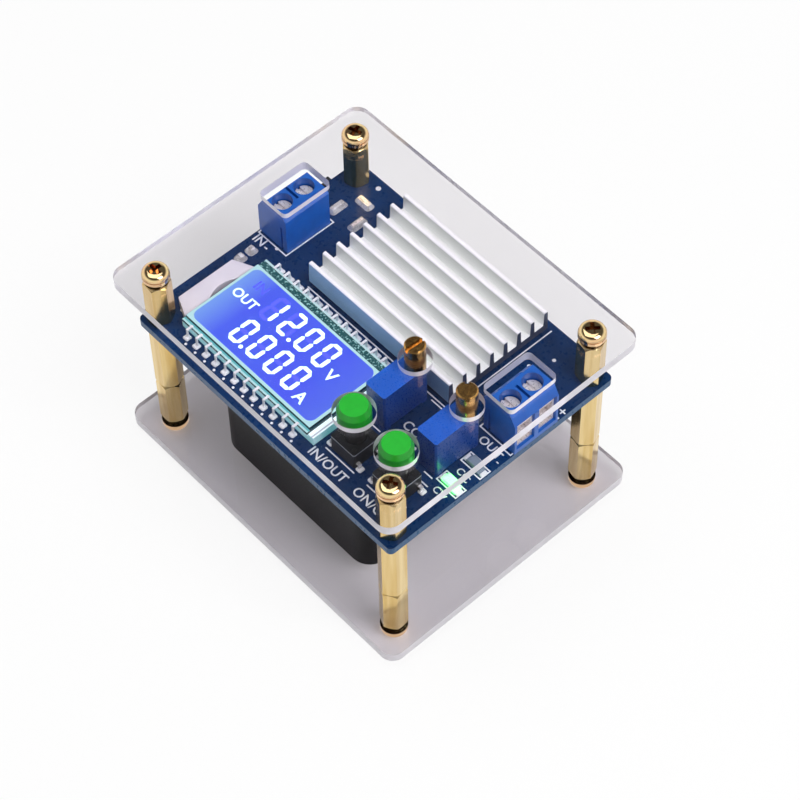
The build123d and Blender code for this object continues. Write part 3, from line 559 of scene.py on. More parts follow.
def aluminium_material():
    """Extruded aluminium, clear anodised: pale satin, die lines along the fins; painted shade,
    reflection and highlights on the fins, ends and crests.
    """
    low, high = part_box("heatsink")
    front, foot, crest = low.y / MM, low.z / MM, high.z / MM
    return surface_material(
        "anodised_aluminium",
        (linear("#fafdfa"), linear("#fdfffd")),
        grain_mm=0.3,
        roughness=0.42,
        spread=0.08,
        depth_mm=0.006,
        stretch=(0.03, 1.0, 1.0),
        layers={
            "Base Color": [
                # Painted shade: the fins are whitest at their foot and darker towards their tops
                ("place_z", foot + 1.2, crest - 0.4, linear("#d6dad6")),
                # Painted reflection: the front wall is tinted with the display's blue light
                ("place_y", front + 0.3, front + 0.25, linear("#8fb6d8")),
                # Painted shade and highlight: sawn ends facing +X are dark navy, those facing -X
                # pale blue
                ("facing_x", 0.7, 0.9, linear("#333d58")),
                ("facing_x", -0.7, -0.9, linear("#8ea4ba")),
                # Painted highlight: the crests are whitened again
                ("place_z", crest - 0.3, crest - 0.18, linear("#fbfbfd")),
            ]
        },
        Metallic=0.12,
    )


# Finishes of the display


def film_material(settings):
    """Blue polarising film over a backlight: even light, paler next to the lamps."""
    lamp_end, far_end = (corner.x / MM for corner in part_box("display_film"))
    return surface_material(
        "display_film",
        (linear("#10143c"), linear("#0e1234")),
        grain_mm=1.2,
        roughness=0.35,
        layers={
            "Emission Color": [
                ("broad", 0.35, 0.65, linear("#4a66ff")),
                ("place_x", far_end - 6.5, far_end, linear("#5674fa")),
                ("place_x", lamp_end + 5.9, lamp_end, settings.backlight_pale),
            ]
        },
        Emission_Color=rgba(settings.backlight),
        Emission_Strength=0.95,
    )


def display_glass_material():
    """Ground edges of the two display glasses: painted teal light glows on the faces, the sides
    are left dark.
    """
    low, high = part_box("display_glass")
    cell_low, cell_high = (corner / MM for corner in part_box("display_film"))
    front_edge, back_edge = low.y / MM, high.y / MM
    ledge = [
        ("fine", 0.55, 0.63, linear("#9fd8d8")),
        # Painted shadow: a dark band on the ledge behind the upper glass
        ("place_y", cell_high.y + 0.95, cell_high.y + 0.9, linear("#0d2f42")),
        ("place_y", cell_low.y - 0.65, cell_low.y - 0.7, linear("#6fc6cd")),
        # Painted light: bright lines glow along the ground edges
        ("place_y", back_edge - 0.45, back_edge - 0.4, linear("#cfeff3")),
        ("place_y", front_edge + 0.4, front_edge + 0.35, linear("#c4f2f4")),
        ("place_z", 35.0, 35.1, linear("#c9f7fb")),
        ("slope_z", 0.6, 0.4, linear("#04141c")),
    ]
    return surface_material(
        "display_glass",
        (linear("#16272c"), linear("#1c3236")),
        grain_mm=0.45,
        roughness=0.12,
        layers={"Emission Color": ledge},
        Emission_Color=rgba(linear("#1f5053")),
        Emission_Strength=0.92,
    )


def light_guide_material():
    """Moulded milky light guide: pale and matt by its lamp, bright where the light leaves."""
    lamp_end, guide = (corner.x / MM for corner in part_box("display_glass"))
    return surface_material(
        "milky_light_guide",
        (linear("#e6e3ea"), linear("#dcd9e2")),
        grain_mm=0.5,
        roughness=0.35,
        layers={
            "Emission Color": [
                ("place_x", guide + 0.1, guide + 0.15, linear("#d0f6f4")),
                # A dark seam runs along the bar between its two lit ribs
                ("place_x", guide + 1.0, guide + 1.05, linear("#0c2a33")),
                ("place_x", guide + 1.35, guide + 1.4, linear("#d0f6f4")),
                ("slope_z", 0.6, 0.4, linear("#2b8c8c")),
                ("place_x", lamp_end + 0.1, lamp_end, (0.0, 0.0, 0.0)),
            ]
        },
        Emission_Color=(0.0, 0.0, 0.0, 1.0),
        Emission_Strength=0.9,
    )


def glow_material(name, light, strength):
    """Lit or shaded field of a liquid-crystal cell: flat light, a little uneven."""
    faint = tuple(channel * 0.8 for channel in light)
    return surface_material(
        name,
        (faint, light),
        grain_mm=0.6,
        roughness=0.4,
        layers={"Emission Color": [("broad", 0.3, 0.7, faint)]},
        Emission_Color=rgba(light),
        Emission_Strength=strength,
    )


def lamp_material():
    """Clear resin of the indicator lamps: the front one is lit green, the other is dark."""
    lit, dark = LAMP_Y[0] + 1.8, LAMP_Y[1] - 2.8
    return surface_material(
        "indicator_resin",
        (linear("#dfe8d8"), linear("#cfdccb")),
        grain_mm=0.3,
        roughness=0.22,
        layers={
            "Base Color": [("place_y", lit, dark, linear("#8494a4"))],
            "Emission Color": [("place_y", lit, dark, (0.0, 0.0, 0.0))],
        },
        Emission_Color=rgba(linear("#48ff60")),
        Emission_Strength=4.5,
    )


def capacitor_material():
    """Drawn aluminium cans on black moulded feet."""
    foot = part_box("capacitors")[1].z / MM - 1.4
    return surface_material(
        "capacitor_can",
        (linear("#c6c7ca"), linear("#b9babe")),
        grain_mm=0.3,
        roughness=0.32,
        spread=0.07,
        depth_mm=0.0,
        stretch=(1.0, 1.0, 0.1),
        layers={
            "Base Color": [("place_z", foot, foot + 0.1, linear("#141416"))],
            "Metallic": [("place_z", foot, foot + 0.1, 0.0)],
        },
        Metallic=1.0,
    )


def dress(material, *nodes):
    """Give a CAD node its material."""
    for name in nodes:
        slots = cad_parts[name].data.materials
        slots.clear()
        slots.append(material)


# Meshes


def finish_piece(mesh, name, material):
    """Turn a bmesh into a piece that rides on the module."""
    bmesh.ops.recalc_face_normals(mesh, faces=mesh.faces[:])
    data = bpy.data.meshes.new(name)
    mesh.to_mesh(data)
    mesh.free()
    if not data.polygons:
        raise RuntimeError(f"{name} has no faces")
    data.materials.append(material)
    piece = bpy.data.objects.new(name, data)
    bpy.context.scene.collection.objects.link(piece)
    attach(piece, BODY)
    return piece


def add_sheet(name, node, material, settings):
    """Copy of a packed plate whose corners are drawn out to the radius of the real sheet."""
    mesh = bmesh.new()
    mesh.from_mesh(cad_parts[node].data)
    bmesh.ops.remove_doubles(mesh, verts=mesh.verts[:], dist=1e-7)
    # Whole faces follow the moved corners; loose triangles would fold over each other
    bmesh.ops.dissolve_limit(
        mesh, angle_limit=math.radians(0.5), verts=mesh.verts[:], edges=mesh.edges[:]
    )
    _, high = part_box(node)
    old, new = settings.solid_corner, settings.corner
    for vert in mesh.verts:
        out = Vector((abs(vert.co.x) - high.x + old, abs(vert.co.y) - high.y + old))
        if min(out) > -1e-6 and out.length > old - 0.05 * MM:
            vert.co.x = math.copysign(high.x - new + out.x * new / old, vert.co.x)
            vert.co.y = math.copysign(high.y - new + out.y * new / old, vert.co.y)
    sheet = finish_piece(mesh, name, material)
    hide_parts(node)


def faces_of(verts):
    """Faces that meet at some corners, each once, in a fixed order."""
    return list(dict.fromkeys(face for vert in verts for face in vert.link_faces))


def raise_faces(mesh, faces, height):
    """Give flat faces a thickness upwards."""
    grown = bmesh.ops.extrude_face_region(mesh, geom=faces)
    corners = [item for item in grown["geom"] if isinstance(item, bmesh.types.BMVert)]
    bmesh.ops.translate(mesh, verts=corners, vec=(0.0, 0.0, height))


def add_plate(mesh, x, y, level, width, depth, height, turn=0.0):
    """Thin rectangular plate centred on a place."""
    placed = Matrix.Translation((x, y, level)) @ Matrix.Rotation(turn, 4, "Z")
    placed = placed @ Matrix.Diagonal((width, depth, 1.0, 1.0))
    made = bmesh.ops.create_grid(mesh, x_segments=1, y_segments=1, size=0.5, matrix=placed)
    raise_faces(mesh, faces_of(made["verts"]), height)


def add_frame(mesh, x_low, x_high, y_low, y_high, level, line, height):
    """Closed rectangular line."""
    placed = Matrix.Translation(((x_low + x_high) / 2, (y_low + y_high) / 2, level))
    placed = placed @ Matrix.Diagonal((x_high - x_low, y_high - y_low, 1.0, 1.0))
    made = bmesh.ops.create_grid(mesh, x_segments=1, y_segments=1, size=0.5, matrix=placed)
    inner = faces_of(made["verts"])
    mesh.normal_update()
    rim = bmesh.ops.inset_region(
        mesh, faces=inner, thickness=line, use_even_offset=True, use_boundary=True
    )
    bmesh.ops.delete(mesh, geom=inner, context="FACES_ONLY")
    raise_faces(mesh, rim["faces"], height)


def add_line(mesh, start, end, level, line, height):
    """Straight printed line between two places in millimetres."""
    a = Vector(start) * MM
    b = Vector(end) * MM
    middle = (a + b) / 2
    turn = math.atan2(b.y - a.y, b.x - a.x)
    add_plate(mesh, middle.x, middle.y, level, (b - a).length + line, line, height, turn)


def add_disc(mesh, x, y, level, radius, height, segments=20):
    """Thin round plate."""
    placed = Matrix.Translation((x, y, level))
    made = bmesh.ops.create_circle(
        mesh, cap_ends=True, segments=segments, radius=radius, matrix=placed
    )
    raise_faces(mesh, faces_of(made["verts"]), height)


def add_solder(mesh, x, y, level, land, height):
    """Rounded solder land; its place, width and depth are in millimetres."""
    width, depth = land[0] * MM, land[1] * MM
    placed = Matrix.Translation((x * MM, y * MM, level + height / 2))
    placed = placed @ Matrix.Diagonal((width, depth, height, 1.0))
    made = bmesh.ops.create_cube(mesh, size=1.0, matrix=placed)
    edges = dict.fromkeys(edge for vert in made["verts"] for edge in vert.link_edges)
    rounded = [e for e in edges if max(v.co.z for v in e.verts) > level + height / 2]
    bmesh.ops.bevel(
        mesh,
        geom=rounded,
        offset=min(width, depth) * 0.3,
        offset_type="OFFSET",
        segments=3,
        profile=0.5,
        affect="EDGES",
        clamp_overlap=True,
        material=-1,
    )


def add_bar(mesh, x, y, level, bar_length, width, upright, slant, height):
    """One bar of a numeral with mitred ends, leaning with it."""
    made = bmesh.ops.create_circle(mesh, cap_ends=True, segments=6, radius=0.5)
    verts = made["verts"]
    half = width / 2
    for vert in verts:
        if abs(vert.co.x) < 0.1:
            vert.co.x = 0.0
            vert.co.y = math.copysign(bar_length / 2, vert.co.y)
        else:
            vert.co.x = math.copysign(half, vert.co.x)
            vert.co.y = math.copysign(bar_length / 2 - half, vert.co.y)
    if not upright:
        bmesh.ops.rotate(mesh, verts=verts, matrix=Matrix.Rotation(math.pi / 2, 3, "Z"))
    lean = math.tan(slant)
    for vert in verts:
        vert.co.x += (vert.co.y + y) * lean
    bmesh.ops.translate(mesh, verts=verts, vec=(x, y, level))
    raise_faces(mesh, faces_of(verts), height)


def add_numeral(mesh, bars, left, middle, level, settings):
    """Bars of one numeral; the left edge and the middle height are given."""
    width = settings.numeral_width - settings.bar_width
    half_height = (settings.numeral_height - settings.bar_width) / 2
    centre = left + settings.numeral_width / 2
    first_vert = len(mesh.verts)
    for bar in bars:
        across, up, upright = BAR_PLACES[bar]
        span = half_height if upright else width
        add_bar(
            mesh,
            across * width,
            up * half_height,
            level,
            span - settings.bar_gap,
            settings.bar_width,
            upright,
            settings.slant,
            settings.figure_thickness,
        )
    mesh.verts.ensure_lookup_table()
    bmesh.ops.translate(mesh, verts=mesh.verts[first_vert:], vec=(centre, middle, 0.0))


def add_words(mesh, words, level, thickness, weight=0.012):
    """Raised letters; each entry is the text, its left end, foot and height in millimetres."""
    for text, left, foot, height in words:
        curve = bpy.data.curves.new("letters", "FONT")
        curve.body = text
        curve.size = 1.0
        curve.offset = weight
        curve.resolution_u = 3
        source = bpy.data.objects.new("letters", curve)
        bpy.context.scene.collection.objects.link(source)
        bpy.context.view_layer.update()
        shape = bpy.data.meshes.new_from_object(source)
        bpy.data.objects.remove(source)
        bpy.data.curves.remove(curve)
        scale = height * MM / CAPITAL_HEIGHT
        placed = Matrix.Translation((left * MM, foot * MM, level))
        shape.transform(placed @ Matrix.Diagonal((scale, scale, 1.0, 1.0)))
        first_face = len(mesh.faces)
        mesh.from_mesh(shape)
        bpy.data.meshes.remove(shape)
        mesh.faces.ensure_lookup_table()
        letters = mesh.faces[first_face:]
        bmesh.ops.remove_doubles(
            mesh, verts=list(dict.fromkeys(v for face in letters for v in face.verts)), dist=1e-6
        )
        mesh.faces.ensure_lookup_table()
        raise_faces(mesh, mesh.faces[first_face:], thickness)


# Operators


class MODULE_OT_plates_and_columns(bpy.types.Operator):
    """Finish the clear plates, the standoffs and their screws"""

    bl_idname = "module.plates_and_columns"
    bl_label = "Plates and columns"

    def execute(self, context):
        settings = context.scene.module_plates
        edge = settings.edge
        upper = acrylic_material("cast_acrylic_upper", settings.upper_tint, edge)
        # Painted shade: the lower sheet passes a darker tint than the upper one
        lower = acrylic_material("cast_acrylic_lower", settings.lower_tint_and_shade, edge)
        add_sheet("upper_sheet", "top_plate", upper, settings)
        add_sheet("lower_sheet", "bottom_plate", lower, settings)
        dress(
            brass_material(settings), "lower_standoffs", "middle_standoffs", "upper_standoffs"
        )
        dress(gilt_material(settings), "top_screws", "bottom_screws")
        return {"FINISHED"}


class MODULE_OT_circuit_board(bpy.types.Operator):
    """Finish the board, its solder and the parts on it"""

    bl_idname = "module.circuit_board"
    bl_label = "Circuit board"

    def execute(self, context):
        settings = context.scene.module_board
        dress(solder_mask_material(settings), "circuit_board")
        dress(
            tin_material(settings),
            "solder_joints",
            "button_1_leads",
            "button_2_leads",
            "trimmer_1_leads",
            "trimmer_2_leads",
            "dc_jack_contacts",
            "fan_socket_pins",
        )
        dress(land_material(), "display_pins")
        # Moulded epoxy: matt black, filled with fine silica
        epoxy = surface_material(
            "moulded_epoxy",
            (linear("#1a1a1c"), linear("#212124")),
            grain_mm=0.12,
            roughness=0.55,
            spread=0.08,
            depth_mm=0.004,
        )
        dress(epoxy, "control_chips", "power_transistors")
        # Pressed ferrite: dark grey and grainy
        ferrite = surface_material(
            "pressed_ferrite",
            (linear("#3a3c40"), linear("#2e3033")),
            grain_mm=0.25,
            roughness=0.6,
            spread=0.1,
            depth_mm=0.01,
        )
        dress(ferrite, "power_inductor")
        # Cast silicone pad: soft matt grey
        silicone = surface_material(
            "cast_silicone",
            (linear("#8f949b"), linear("#7d828a")),
            grain_mm=0.4,
            roughness=0.7,
            spread=0.05,
            depth_mm=0.01,
        )
        dress(silicone, "thermal_pad")
        dress(capacitor_material(), "capacitors")
        dress(lamp_material(), "status_lamps")
        return {"FINISHED"}


class MODULE_OT_board_print(bpy.types.Operator):
    """Print the board's lines and letters"""

    bl_idname = "module.board_print"
    bl_label = "Board print"

    def execute(self, context):
        settings = context.scene.module_board
        board_low, board_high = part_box("circuit_board")
        level = board_high.z
        line = settings.line_width
        thick = settings.ink_thickness
        # Screen-printed epoxy ink: matt white, a little thin in places
        ink = surface_material(
            "marking_ink",
            (settings.ink, linear("#e6ebf3")),
            grain_mm=0.3,
            roughness=0.55,
            spread=0.08,
            depth_mm=0.004,
        )
        mesh = bmesh.new()
        edge = 0.7 * MM
        for body in ("input_terminal_body", "output_terminal_body"):
            low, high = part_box(body)
            x_low = max(low.x - edge / 2, board_low.x + line)
            x_high = min(high.x + edge / 2, board_high.x - line)
            add_frame(mesh, x_low, x_high, low.y - edge, high.y + edge, level, line, thick)
        for x_low, x_high, y_low, y_high in LAMP_FRAMES:
            add_frame(
                mesh, x_low * MM, x_high * MM, y_low * MM, y_high * MM, level, line, thick
            )
        for start, end in PRINTED_LINES:
            add_line(mesh, start, end, level, line, thick)
        finish_piece(mesh, "board_lines", ink)

        tall = settings.letter_height / MM
        small = settings.small_letter_height / MM
        words = [
            ("IN/OUT", 9.0, -23.3, tall),
            ("ON/OFF", 20.2, -23.3, tall),
            ("CC", 15.9, -8.0, tall),
            ("OUT", 26.9, -0.6, tall * 0.9),
            ("IN", -32.4, -0.2, tall),
            ("CV", 29.0, -13.1, small),
            ("CC", 29.0, -7.7, small),
            ("+", 31.4, 13.6, tall),
            ("-", 31.9, -1.3, small),
            ("-", -29.4, -0.3, tall),
        ]
        mesh = bmesh.new()
        add_words(mesh, words, level, thick)
        finish_piece(mesh, "board_letters", ink)
        return {"FINISHED"}


class MODULE_OT_solder_lands(bpy.types.Operator):
    """Add the tinned lands on the board's upper face"""

    bl_idname = "module.solder_lands"
    bl_label = "Solder lands"

    def execute(self, context):
        settings = context.scene.module_board
        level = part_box("circuit_board")[1].z
        rise = settings.land_rise
        tin = bpy.data.materials["levelled_tin"]
        front_row, back_row = DISPLAY_PIN_Y
        mesh = bmesh.new()
        for x in DISPLAY_PIN_X:
            add_solder(mesh, x, back_row, level, BACK_LAND, rise)
            add_solder(mesh, x, front_row + FRONT_LAND_SHIFT, level, FRONT_LAND, rise)
        finish_piece(mesh, "display_solder", tin)

        mesh = bmesh.new()
        shift_x, shift_y = TEST_POINT_SHIFT
        points = [(x + shift_x, front_row + shift_y, TEST_POINT_RADIUS) for x in DISPLAY_PIN_X]
        for x, y, radius in (*points, *VIAS):
            add_disc(mesh, x * MM, y * MM, level, radius * MM, VIA_RISE * MM)
        finish_piece(mesh, "board_vias", tin)

        mesh = bmesh.new()
        aside, along = BUTTON_LAND_PLACE
        for x in BUTTON_X:
            for side_x in (-aside, aside):
                for side_y in (-along, along):
                    add_solder(mesh, x + side_x, BUTTON_Y + side_y, level, BUTTON_LAND, rise)
        for y in LAMP_Y:
            for side in (-LAMP_LAND_PLACE, LAMP_LAND_PLACE):
                add_solder(mesh, LAMP_X + side, y, level, LAMP_LAND, rise)
        finish_piece(mesh, "control_solder", tin)
        return {"FINISHED"}


class MODULE_OT_display(bpy.types.Operator):
    """Light the display and draw its figures"""

    bl_idname = "module.display"
    bl_label = "Display"

    def execute(self, context):
        settings = context.scene.module_display
        dress(film_material(settings), "display_film")
        dress(display_glass_material(), "display_glass")
        dress(light_guide_material(), "display_light_box")
        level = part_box("display_film")[1].z
        thick = settings.figure_thickness
        figures = bmesh.new()
        shades = bmesh.new()
        for middle, numerals, point_after in NUMERAL_ROWS:
            middle *= MM
            for place, numeral in enumerate(numerals):
                lit = NUMERAL_BARS[numeral]
                dark = [bar for bar in NUMERAL_BARS["8"] if bar not in lit]
                x = NUMERALS_LEFT * MM + place * settings.numeral_pitch
                add_numeral(figures, lit, x, middle, level, settings)
                if dark:
                    add_numeral(shades, dark, x, middle, level, settings)
            gap = (settings.numeral_pitch - settings.numeral_width) / 2
            x = NUMERALS_LEFT * MM + point_after * settings.numeral_pitch
            x += settings.numeral_width + gap * 0.75
            y = middle - settings.numeral_height / 2 + settings.bar_width / 2
            add_disc(figures, x, y, level, POINT_RADIUS * MM, thick, segments=12)
        words = [("OUT", -24.0, -12.0, 2.0), ("V", 0.6, -12.3, 2.4), ("A", 0.3, -19.0, 2.4)]
        add_words(figures, words, level, thick, weight=0.02)
        add_words(shades, [("IN", -22.3, -8.4, 2.0)], level, thick, weight=0.02)
        lit_field = glow_material("lit_figures", settings.figure, strength=0.97)
        finish_piece(figures, "display_figures", lit_field)
        shaded_field = glow_material("unlit_figures", settings.shade, strength=0.95)
        finish_piece(shades, "display_shades", shaded_field)
        return {"FINISHED"}


class MODULE_OT_cooling(bpy.types.Operator):
    """Finish the heatsink and the fan"""

    bl_idname = "module.cooling"
    bl_label = "Heatsink and fan"

    def execute(self, context):
        dress(aluminium_material(), "heatsink")
        # Moulded glass-filled polyester: charcoal with a fine spark-eroded texture
        fan_plastic = surface_material(
            "moulded_polyester",
            (linear("#131214"), linear("#0f0e10")),
            grain_mm=0.18,
            roughness=0.45,
            spread=0.08,
            depth_mm=0.006,
            Specular_IOR_Level=0.2,
        )
        dress(fan_plastic, "fan_frame", "fan_rotor")
        # Enamelled copper wire: coppery, ribbed by its turns
        winding = surface_material(
            "enamelled_copper",
            (linear("#a8552a"), linear("#7d3c1c")),
            grain_mm=0.2,
            roughness=0.3,
            spread=0.08,
            depth_mm=0.02,
            stretch=(1.0, 1.0, 4.0),
            Metallic=0.8,
        )
        dress(winding, "fan_stator")
        # Zinc-plated steel: bright with a faint yellow cast
        zinc = surface_material(
            "zinc_plated_steel",
            (linear("#d8d5cc"), linear("#c0bcb0")),
            grain_mm=0.2,
            roughness=0.25,
            spread=0.06,
            depth_mm=0.003,
            Metallic=1.0,
        )
        dress(zinc, "fan_screws", "fan_nuts")
        return {"FINISHED"}


class MODULE_OT_controls(bpy.types.Operator):
    """Finish the push buttons and the trimmers"""

    bl_idname = "module.controls"
    bl_label = "Buttons and trimmers"

    def execute(self, context):
        # Moulded ABS: saturated green with a satin face, painted darker on its rounded edge and
        # sides as shade
        green = surface_material(
            "moulded_green_abs",
            (linear("#17b82b"), linear("#15b028")),
            grain_mm=0.2,
            roughness=0.34,
            spread=0.05,
            depth_mm=0.003,
            layers={"Base Color": [("slope_z", 0.95, 0.5, linear("#139a23"))]},
        )
        dress(green, "button_1_cap", "button_2_cap")
        # Moulded nylon: plain black
        nylon = surface_material(
            "moulded_black_nylon",
            (linear("#121214"), linear("#18181b")),
            grain_mm=0.2,
            roughness=0.4,
            spread=0.08,
            depth_mm=0.004,
        )
        dress(
            nylon,
            "button_1_switch",
            "button_2_switch",
            "button_1_plunger",
            "button_2_plunger",
        )
        # Pressed and blackened steel: bare metal shows at its sheared edges
        cover = surface_material(
            "blackened_steel",
            (linear("#1c1d21"), linear("#232428")),
            grain_mm=0.3,
            roughness=0.35,
            spread=0.06,
            depth_mm=0.002,
            layers={"Base Color": [("slope_z", 0.8, 0.5, linear("#b4b8bf"))]},
            Metallic=0.4,
        )
        dress(cover, "button_1_cover", "button_2_cover")
        # Moulded glossy polyester: bright blue above, darker on the walls in the shade
        blue_case = surface_material(
            "moulded_blue_case",
            (linear("#0f58bd"), linear("#0d52b3")),
            grain_mm=0.3,
            roughness=0.3,
            spread=0.05,
            depth_mm=0.0,
            layers={"Base Color": [("slope_z", 0.6, 0.4, linear("#0b3a86"))]},
        )
        dress(blue_case, "trimmer_1_body", "trimmer_2_body")
        # Turned brass: rings of the tool
        brass = surface_material(
            "turned_brass",
            (linear("#c69a5c"), linear("#a37a48")),
            grain_mm=0.1,
            roughness=0.2,
            spread=0.06,
            depth_mm=0.004,
            stretch=(1.0, 1.0, 3.0),
            Metallic=1.0,
        )
        dress(brass, "trimmer_1_screw", "trimmer_2_screw")
        return {"FINISHED"}


class MODULE_OT_connectors(bpy.types.Operator):
    """Finish the wire terminals, the supply jack and the fan's socket"""

    bl_idname = "module.connectors"
    bl_label = "Connectors"

    def execute(self, context):
        # Moulded polyamide: saturated blue with a satin face
        polyamide = surface_material(
            "moulded_blue_polyamide",
            (linear("#0e5cb8"), linear("#0b55ae")),
            grain_mm=0.25,
            roughness=0.36,
            spread=0.06,
            depth_mm=0.004,
        )
        dress(polyamide, "input_terminal_body", "output_terminal_body")
        # Nickel-plated steel: pale and a little warm
        nickel = surface_material(
            "nickel_plated_steel",
            (linear("#f1eaea"), linear("#e2d9d9")),
            grain_mm=0.4,
            roughness=0.3,
            spread=0.06,
            depth_mm=0.002,
            Metallic=0.45,
        )
        terminal_metal = [
            f"{side}_{part}"
            for side in ("input", "output")
            for part in ("terminal_clamps", "leaf_1", "leaf_2", "screw_1", "screw_2")
        ]
        dress(nickel, *terminal_metal, "dc_jack_pin")
        # Moulded polyester: black and slightly matt
        black = surface_material(
            "moulded_black_polyester",
            (linear("#17171a"), linear("#1e1e21")),
            grain_mm=0.25,
            roughness=0.45,
            spread=0.08,
            depth_mm=0.005,
        )
        dress(black, "dc_jack_body")
        # Moulded natural nylon: milky and a little yellow
        white = surface_material(
            "moulded_natural_nylon",
            (linear("#e3dfd2"), linear("#d6d1c2")),
            grain_mm=0.3,
            roughness=0.45,
            spread=0.06,
            depth_mm=0.004,
        )
        dress(white, "fan_socket")
        return {"FINISHED"}


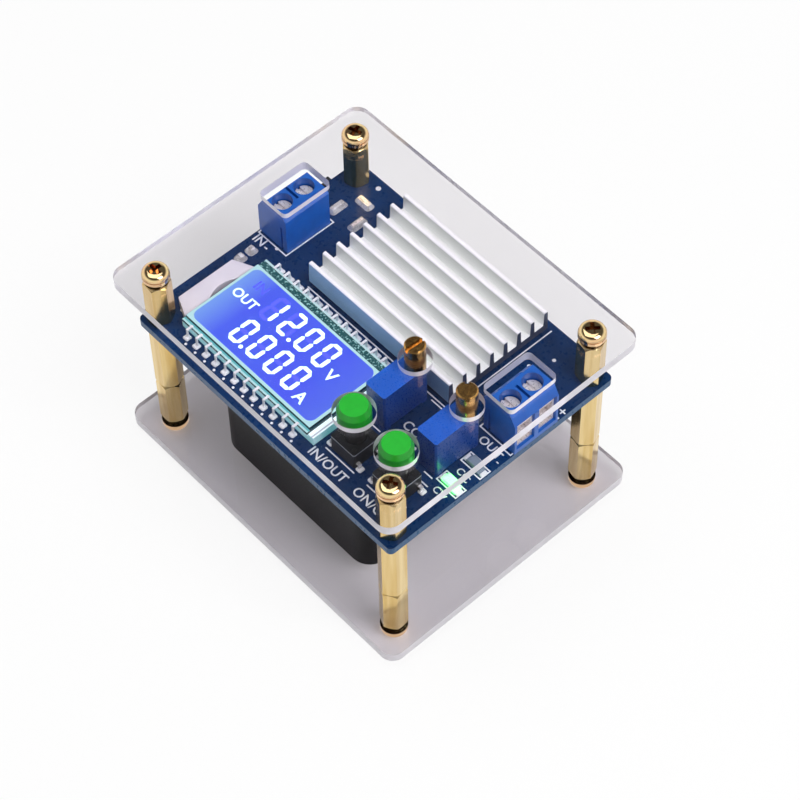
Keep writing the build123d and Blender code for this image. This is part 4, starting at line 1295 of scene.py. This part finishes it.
class MODULE_OT_stage(bpy.types.Operator):
    """Set the camera, the lamps and the floor"""

    bl_idname = "module.stage"
    bl_label = "Studio"

    def execute(self, context):
        settings = context.scene.module_studio
        self.set_camera(context, settings)
        self.set_world(context, settings)
        self.set_lamps(context, settings)
        self.set_floor(context)
        context.scene.view_settings.view_transform = "Standard"
        return {"FINISHED"}

    def set_camera(self, context, settings):
        """Place the camera from its two angles, its roll and its distance."""
        turn, lift, roll = settings.azimuth, settings.elevation, settings.roll
        back = direction(turn, lift)
        level = Vector((math.cos(turn), math.sin(turn), 0.0))
        upright = back.cross(level)
        right = level * math.cos(roll) + upright * math.sin(roll)
        top = upright * math.cos(roll) - level * math.sin(roll)
        foot = Vector((0.0, 0.0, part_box("bottom_plate")[0].z))
        place = foot + back * settings.distance + right * settings.aside + top * settings.above
        camera = bpy.data.objects.new("camera", bpy.data.cameras.new("camera"))
        context.scene.collection.objects.link(camera)
        camera.data.lens = settings.lens
        camera.data.sensor_width = 36.0
        camera.data.clip_start = 0.01
        camera.data.clip_end = 20.0
        turned = Matrix((right, top, back)).transposed().to_4x4()
        camera.matrix_world = Matrix.Translation(place) @ turned
        context.scene.camera = camera

    def set_world(self, context, settings):
        """White surroundings to the eye, white walls under a dim ceiling in reflections."""
        world = bpy.data.worlds.new("studio_white")
        world.use_nodes = True
        world.node_tree.nodes.clear()
        coordinates = add_node(world, "ShaderNodeTexCoord")
        parts = add_node(
            world, "ShaderNodeSeparateXYZ", links={"Vector": coordinates.outputs["Generated"]}
        )
        walls = add_node(
            world,
            "ShaderNodeMapRange",
            {"From Min": 0.3, "From Max": 0.6, "To Min": 1.0, "To Max": settings.ceiling},
            {"Value": parts.outputs["Z"]},
        )
        path = add_node(world, "ShaderNodeLightPath")
        mirrored = add_node(
            world,
            "ShaderNodeMath",
            links={0: path.outputs["Is Glossy Ray"], 1: path.outputs["Is Transmission Ray"]},
            operation="MAXIMUM",
        )
        lighting = add_node(
            world,
            "ShaderNodeMix",
            {2: settings.ambient},
            {0: mirrored.outputs["Value"], 3: walls.outputs["Result"]},
            data_type="FLOAT",
        )
        strength = add_node(
            world,
            "ShaderNodeMix",
            {3: 1.0},
            {0: path.outputs["Is Camera Ray"], 2: lighting.outputs[0]},
            data_type="FLOAT",
        )
        light = add_node(
            world,
            "ShaderNodeBackground",
            {"Color": (1.0, 1.0, 1.0, 1.0)},
            {"Strength": strength.outputs[0]},
        )
        add_node(
            world, "ShaderNodeOutputWorld", links={"Surface": light.outputs["Background"]}
        )
        context.scene.world = world

    def set_lamps(self, context, settings):
        """Main soft lamp from the right and a wide one overhead."""
        # Name, power, size in metres, turn and lift in degrees, distance in metres
        lamps = (
            ("key_lamp", settings.key_power, 0.5, 100.0, 52.0, 0.9),
            ("fill_lamp", settings.fill_power, 0.8, 300.0, 80.0, 0.9),
        )
        for name, power, size, turn, lift, distance in lamps:
            data = bpy.data.lights.new(name, "AREA")
            data.energy = power
            data.shape = "SQUARE"
            data.size = size
            lamp = bpy.data.objects.new(name, data)
            context.scene.collection.objects.link(lamp)
            back = direction(math.radians(turn), math.radians(lift))
            turned = back.to_track_quat("Z", "Y").to_matrix().to_4x4()
            lamp.matrix_world = Matrix.Translation(back * distance) @ turned

    def set_floor(self, context):
        """Pale table that keeps a light shadow."""
        material = bpy.data.materials.new("studio_table")
        material.use_nodes = True
        material.node_tree.nodes.clear()
        diffuse = add_node(material, "ShaderNodeBsdfDiffuse", {"Color": rgba(linear("#f8f8f8"))})
        white = add_node(
            material, "ShaderNodeEmission", {"Color": (1.0, 1.0, 1.0, 1.0), "Strength": 1.0}
        )
        path = add_node(material, "ShaderNodeLightPath")
        mirrored = add_node(
            material,
            "ShaderNodeMath",
            links={0: path.outputs["Is Glossy Ray"], 1: path.outputs["Is Transmission Ray"]},
            operation="MAXIMUM",
        )
        seen = add_node(
            material,
            "ShaderNodeMath",
            links={0: path.outputs["Is Camera Ray"], 1: mirrored.outputs["Value"]},
            operation="MAXIMUM",
        )
        share = add_node(
            material,
            "ShaderNodeMapRange",
            {"To Max": 0.85},
            {"Value": seen.outputs["Value"]},
        )
        # The shadow shows more through the plates than beside them
        share = add_node(
            material,
            "ShaderNodeMix",
            {3: 0.15},
            {0: path.outputs["Is Transmission Ray"], 2: share.outputs["Result"]},
            data_type="FLOAT",
        )
        both = add_node(
            material,
            "ShaderNodeMixShader",
            links={
                0: share.outputs[0],
                1: diffuse.outputs["BSDF"],
                2: white.outputs["Emission"],
            },
        )
        add_node(
            material, "ShaderNodeOutputMaterial", links={"Surface": both.outputs["Shader"]}
        )
        mesh = bmesh.new()
        bmesh.ops.create_grid(mesh, x_segments=1, y_segments=1, size=3.0)
        data = bpy.data.meshes.new("table")
        mesh.to_mesh(data)
        mesh.free()
        data.materials.append(material)
        table = bpy.data.objects.new("table", data)
        context.scene.collection.objects.link(table)


class MODULE_PT_sidebar(bpy.types.Panel):
    """Buttons that finish the module"""

    bl_idname = "MODULE_PT_sidebar"
    bl_label = "Regulator module"
    bl_space_type = "VIEW_3D"
    bl_region_type = "UI"
    bl_category = "Module"

    def draw(self, context):
        for operator in OPERATORS:
            self.layout.operator(operator.bl_idname)
        for name in SETTINGS:
            group = getattr(context.scene, name)
            column = self.layout.column()
            for field in group.bl_rna.properties:
                if not field.is_readonly and field.identifier != "name":
                    column.prop(group, field.identifier)


SETTINGS = {
    "module_plates": PlateSettings,
    "module_board": BoardSettings,
    "module_display": DisplaySettings,
    "module_studio": StudioSettings,
}
OPERATORS = (
    MODULE_OT_stage,
    MODULE_OT_plates_and_columns,
    MODULE_OT_circuit_board,
    MODULE_OT_board_print,
    MODULE_OT_solder_lands,
    MODULE_OT_display,
    MODULE_OT_cooling,
    MODULE_OT_controls,
    MODULE_OT_connectors,
)
CLASSES = (*SETTINGS.values(), *OPERATORS, MODULE_PT_sidebar)


def register():
    """Add the settings, the operators and the panel."""
    for each in CLASSES:
        bpy.utils.register_class(each)
    for name, group in SETTINGS.items():
        setattr(bpy.types.Scene, name, PointerProperty(type=group))


def unregister():
    """Remove the panel, the operators and the settings."""
    for name in SETTINGS:
        delattr(bpy.types.Scene, name)
    for each in reversed(CLASSES):
        bpy.utils.unregister_class(each)


def main():
    """Register the classes and build every piece in order."""
    register()
    bpy.ops.module.stage()
    bpy.ops.module.plates_and_columns()
    bpy.ops.module.circuit_board()
    bpy.ops.module.board_print()
    bpy.ops.module.solder_lands()
    bpy.ops.module.display()
    bpy.ops.module.cooling()
    bpy.ops.module.controls()
    bpy.ops.module.connectors()


if __name__ == "__main__":
    main()
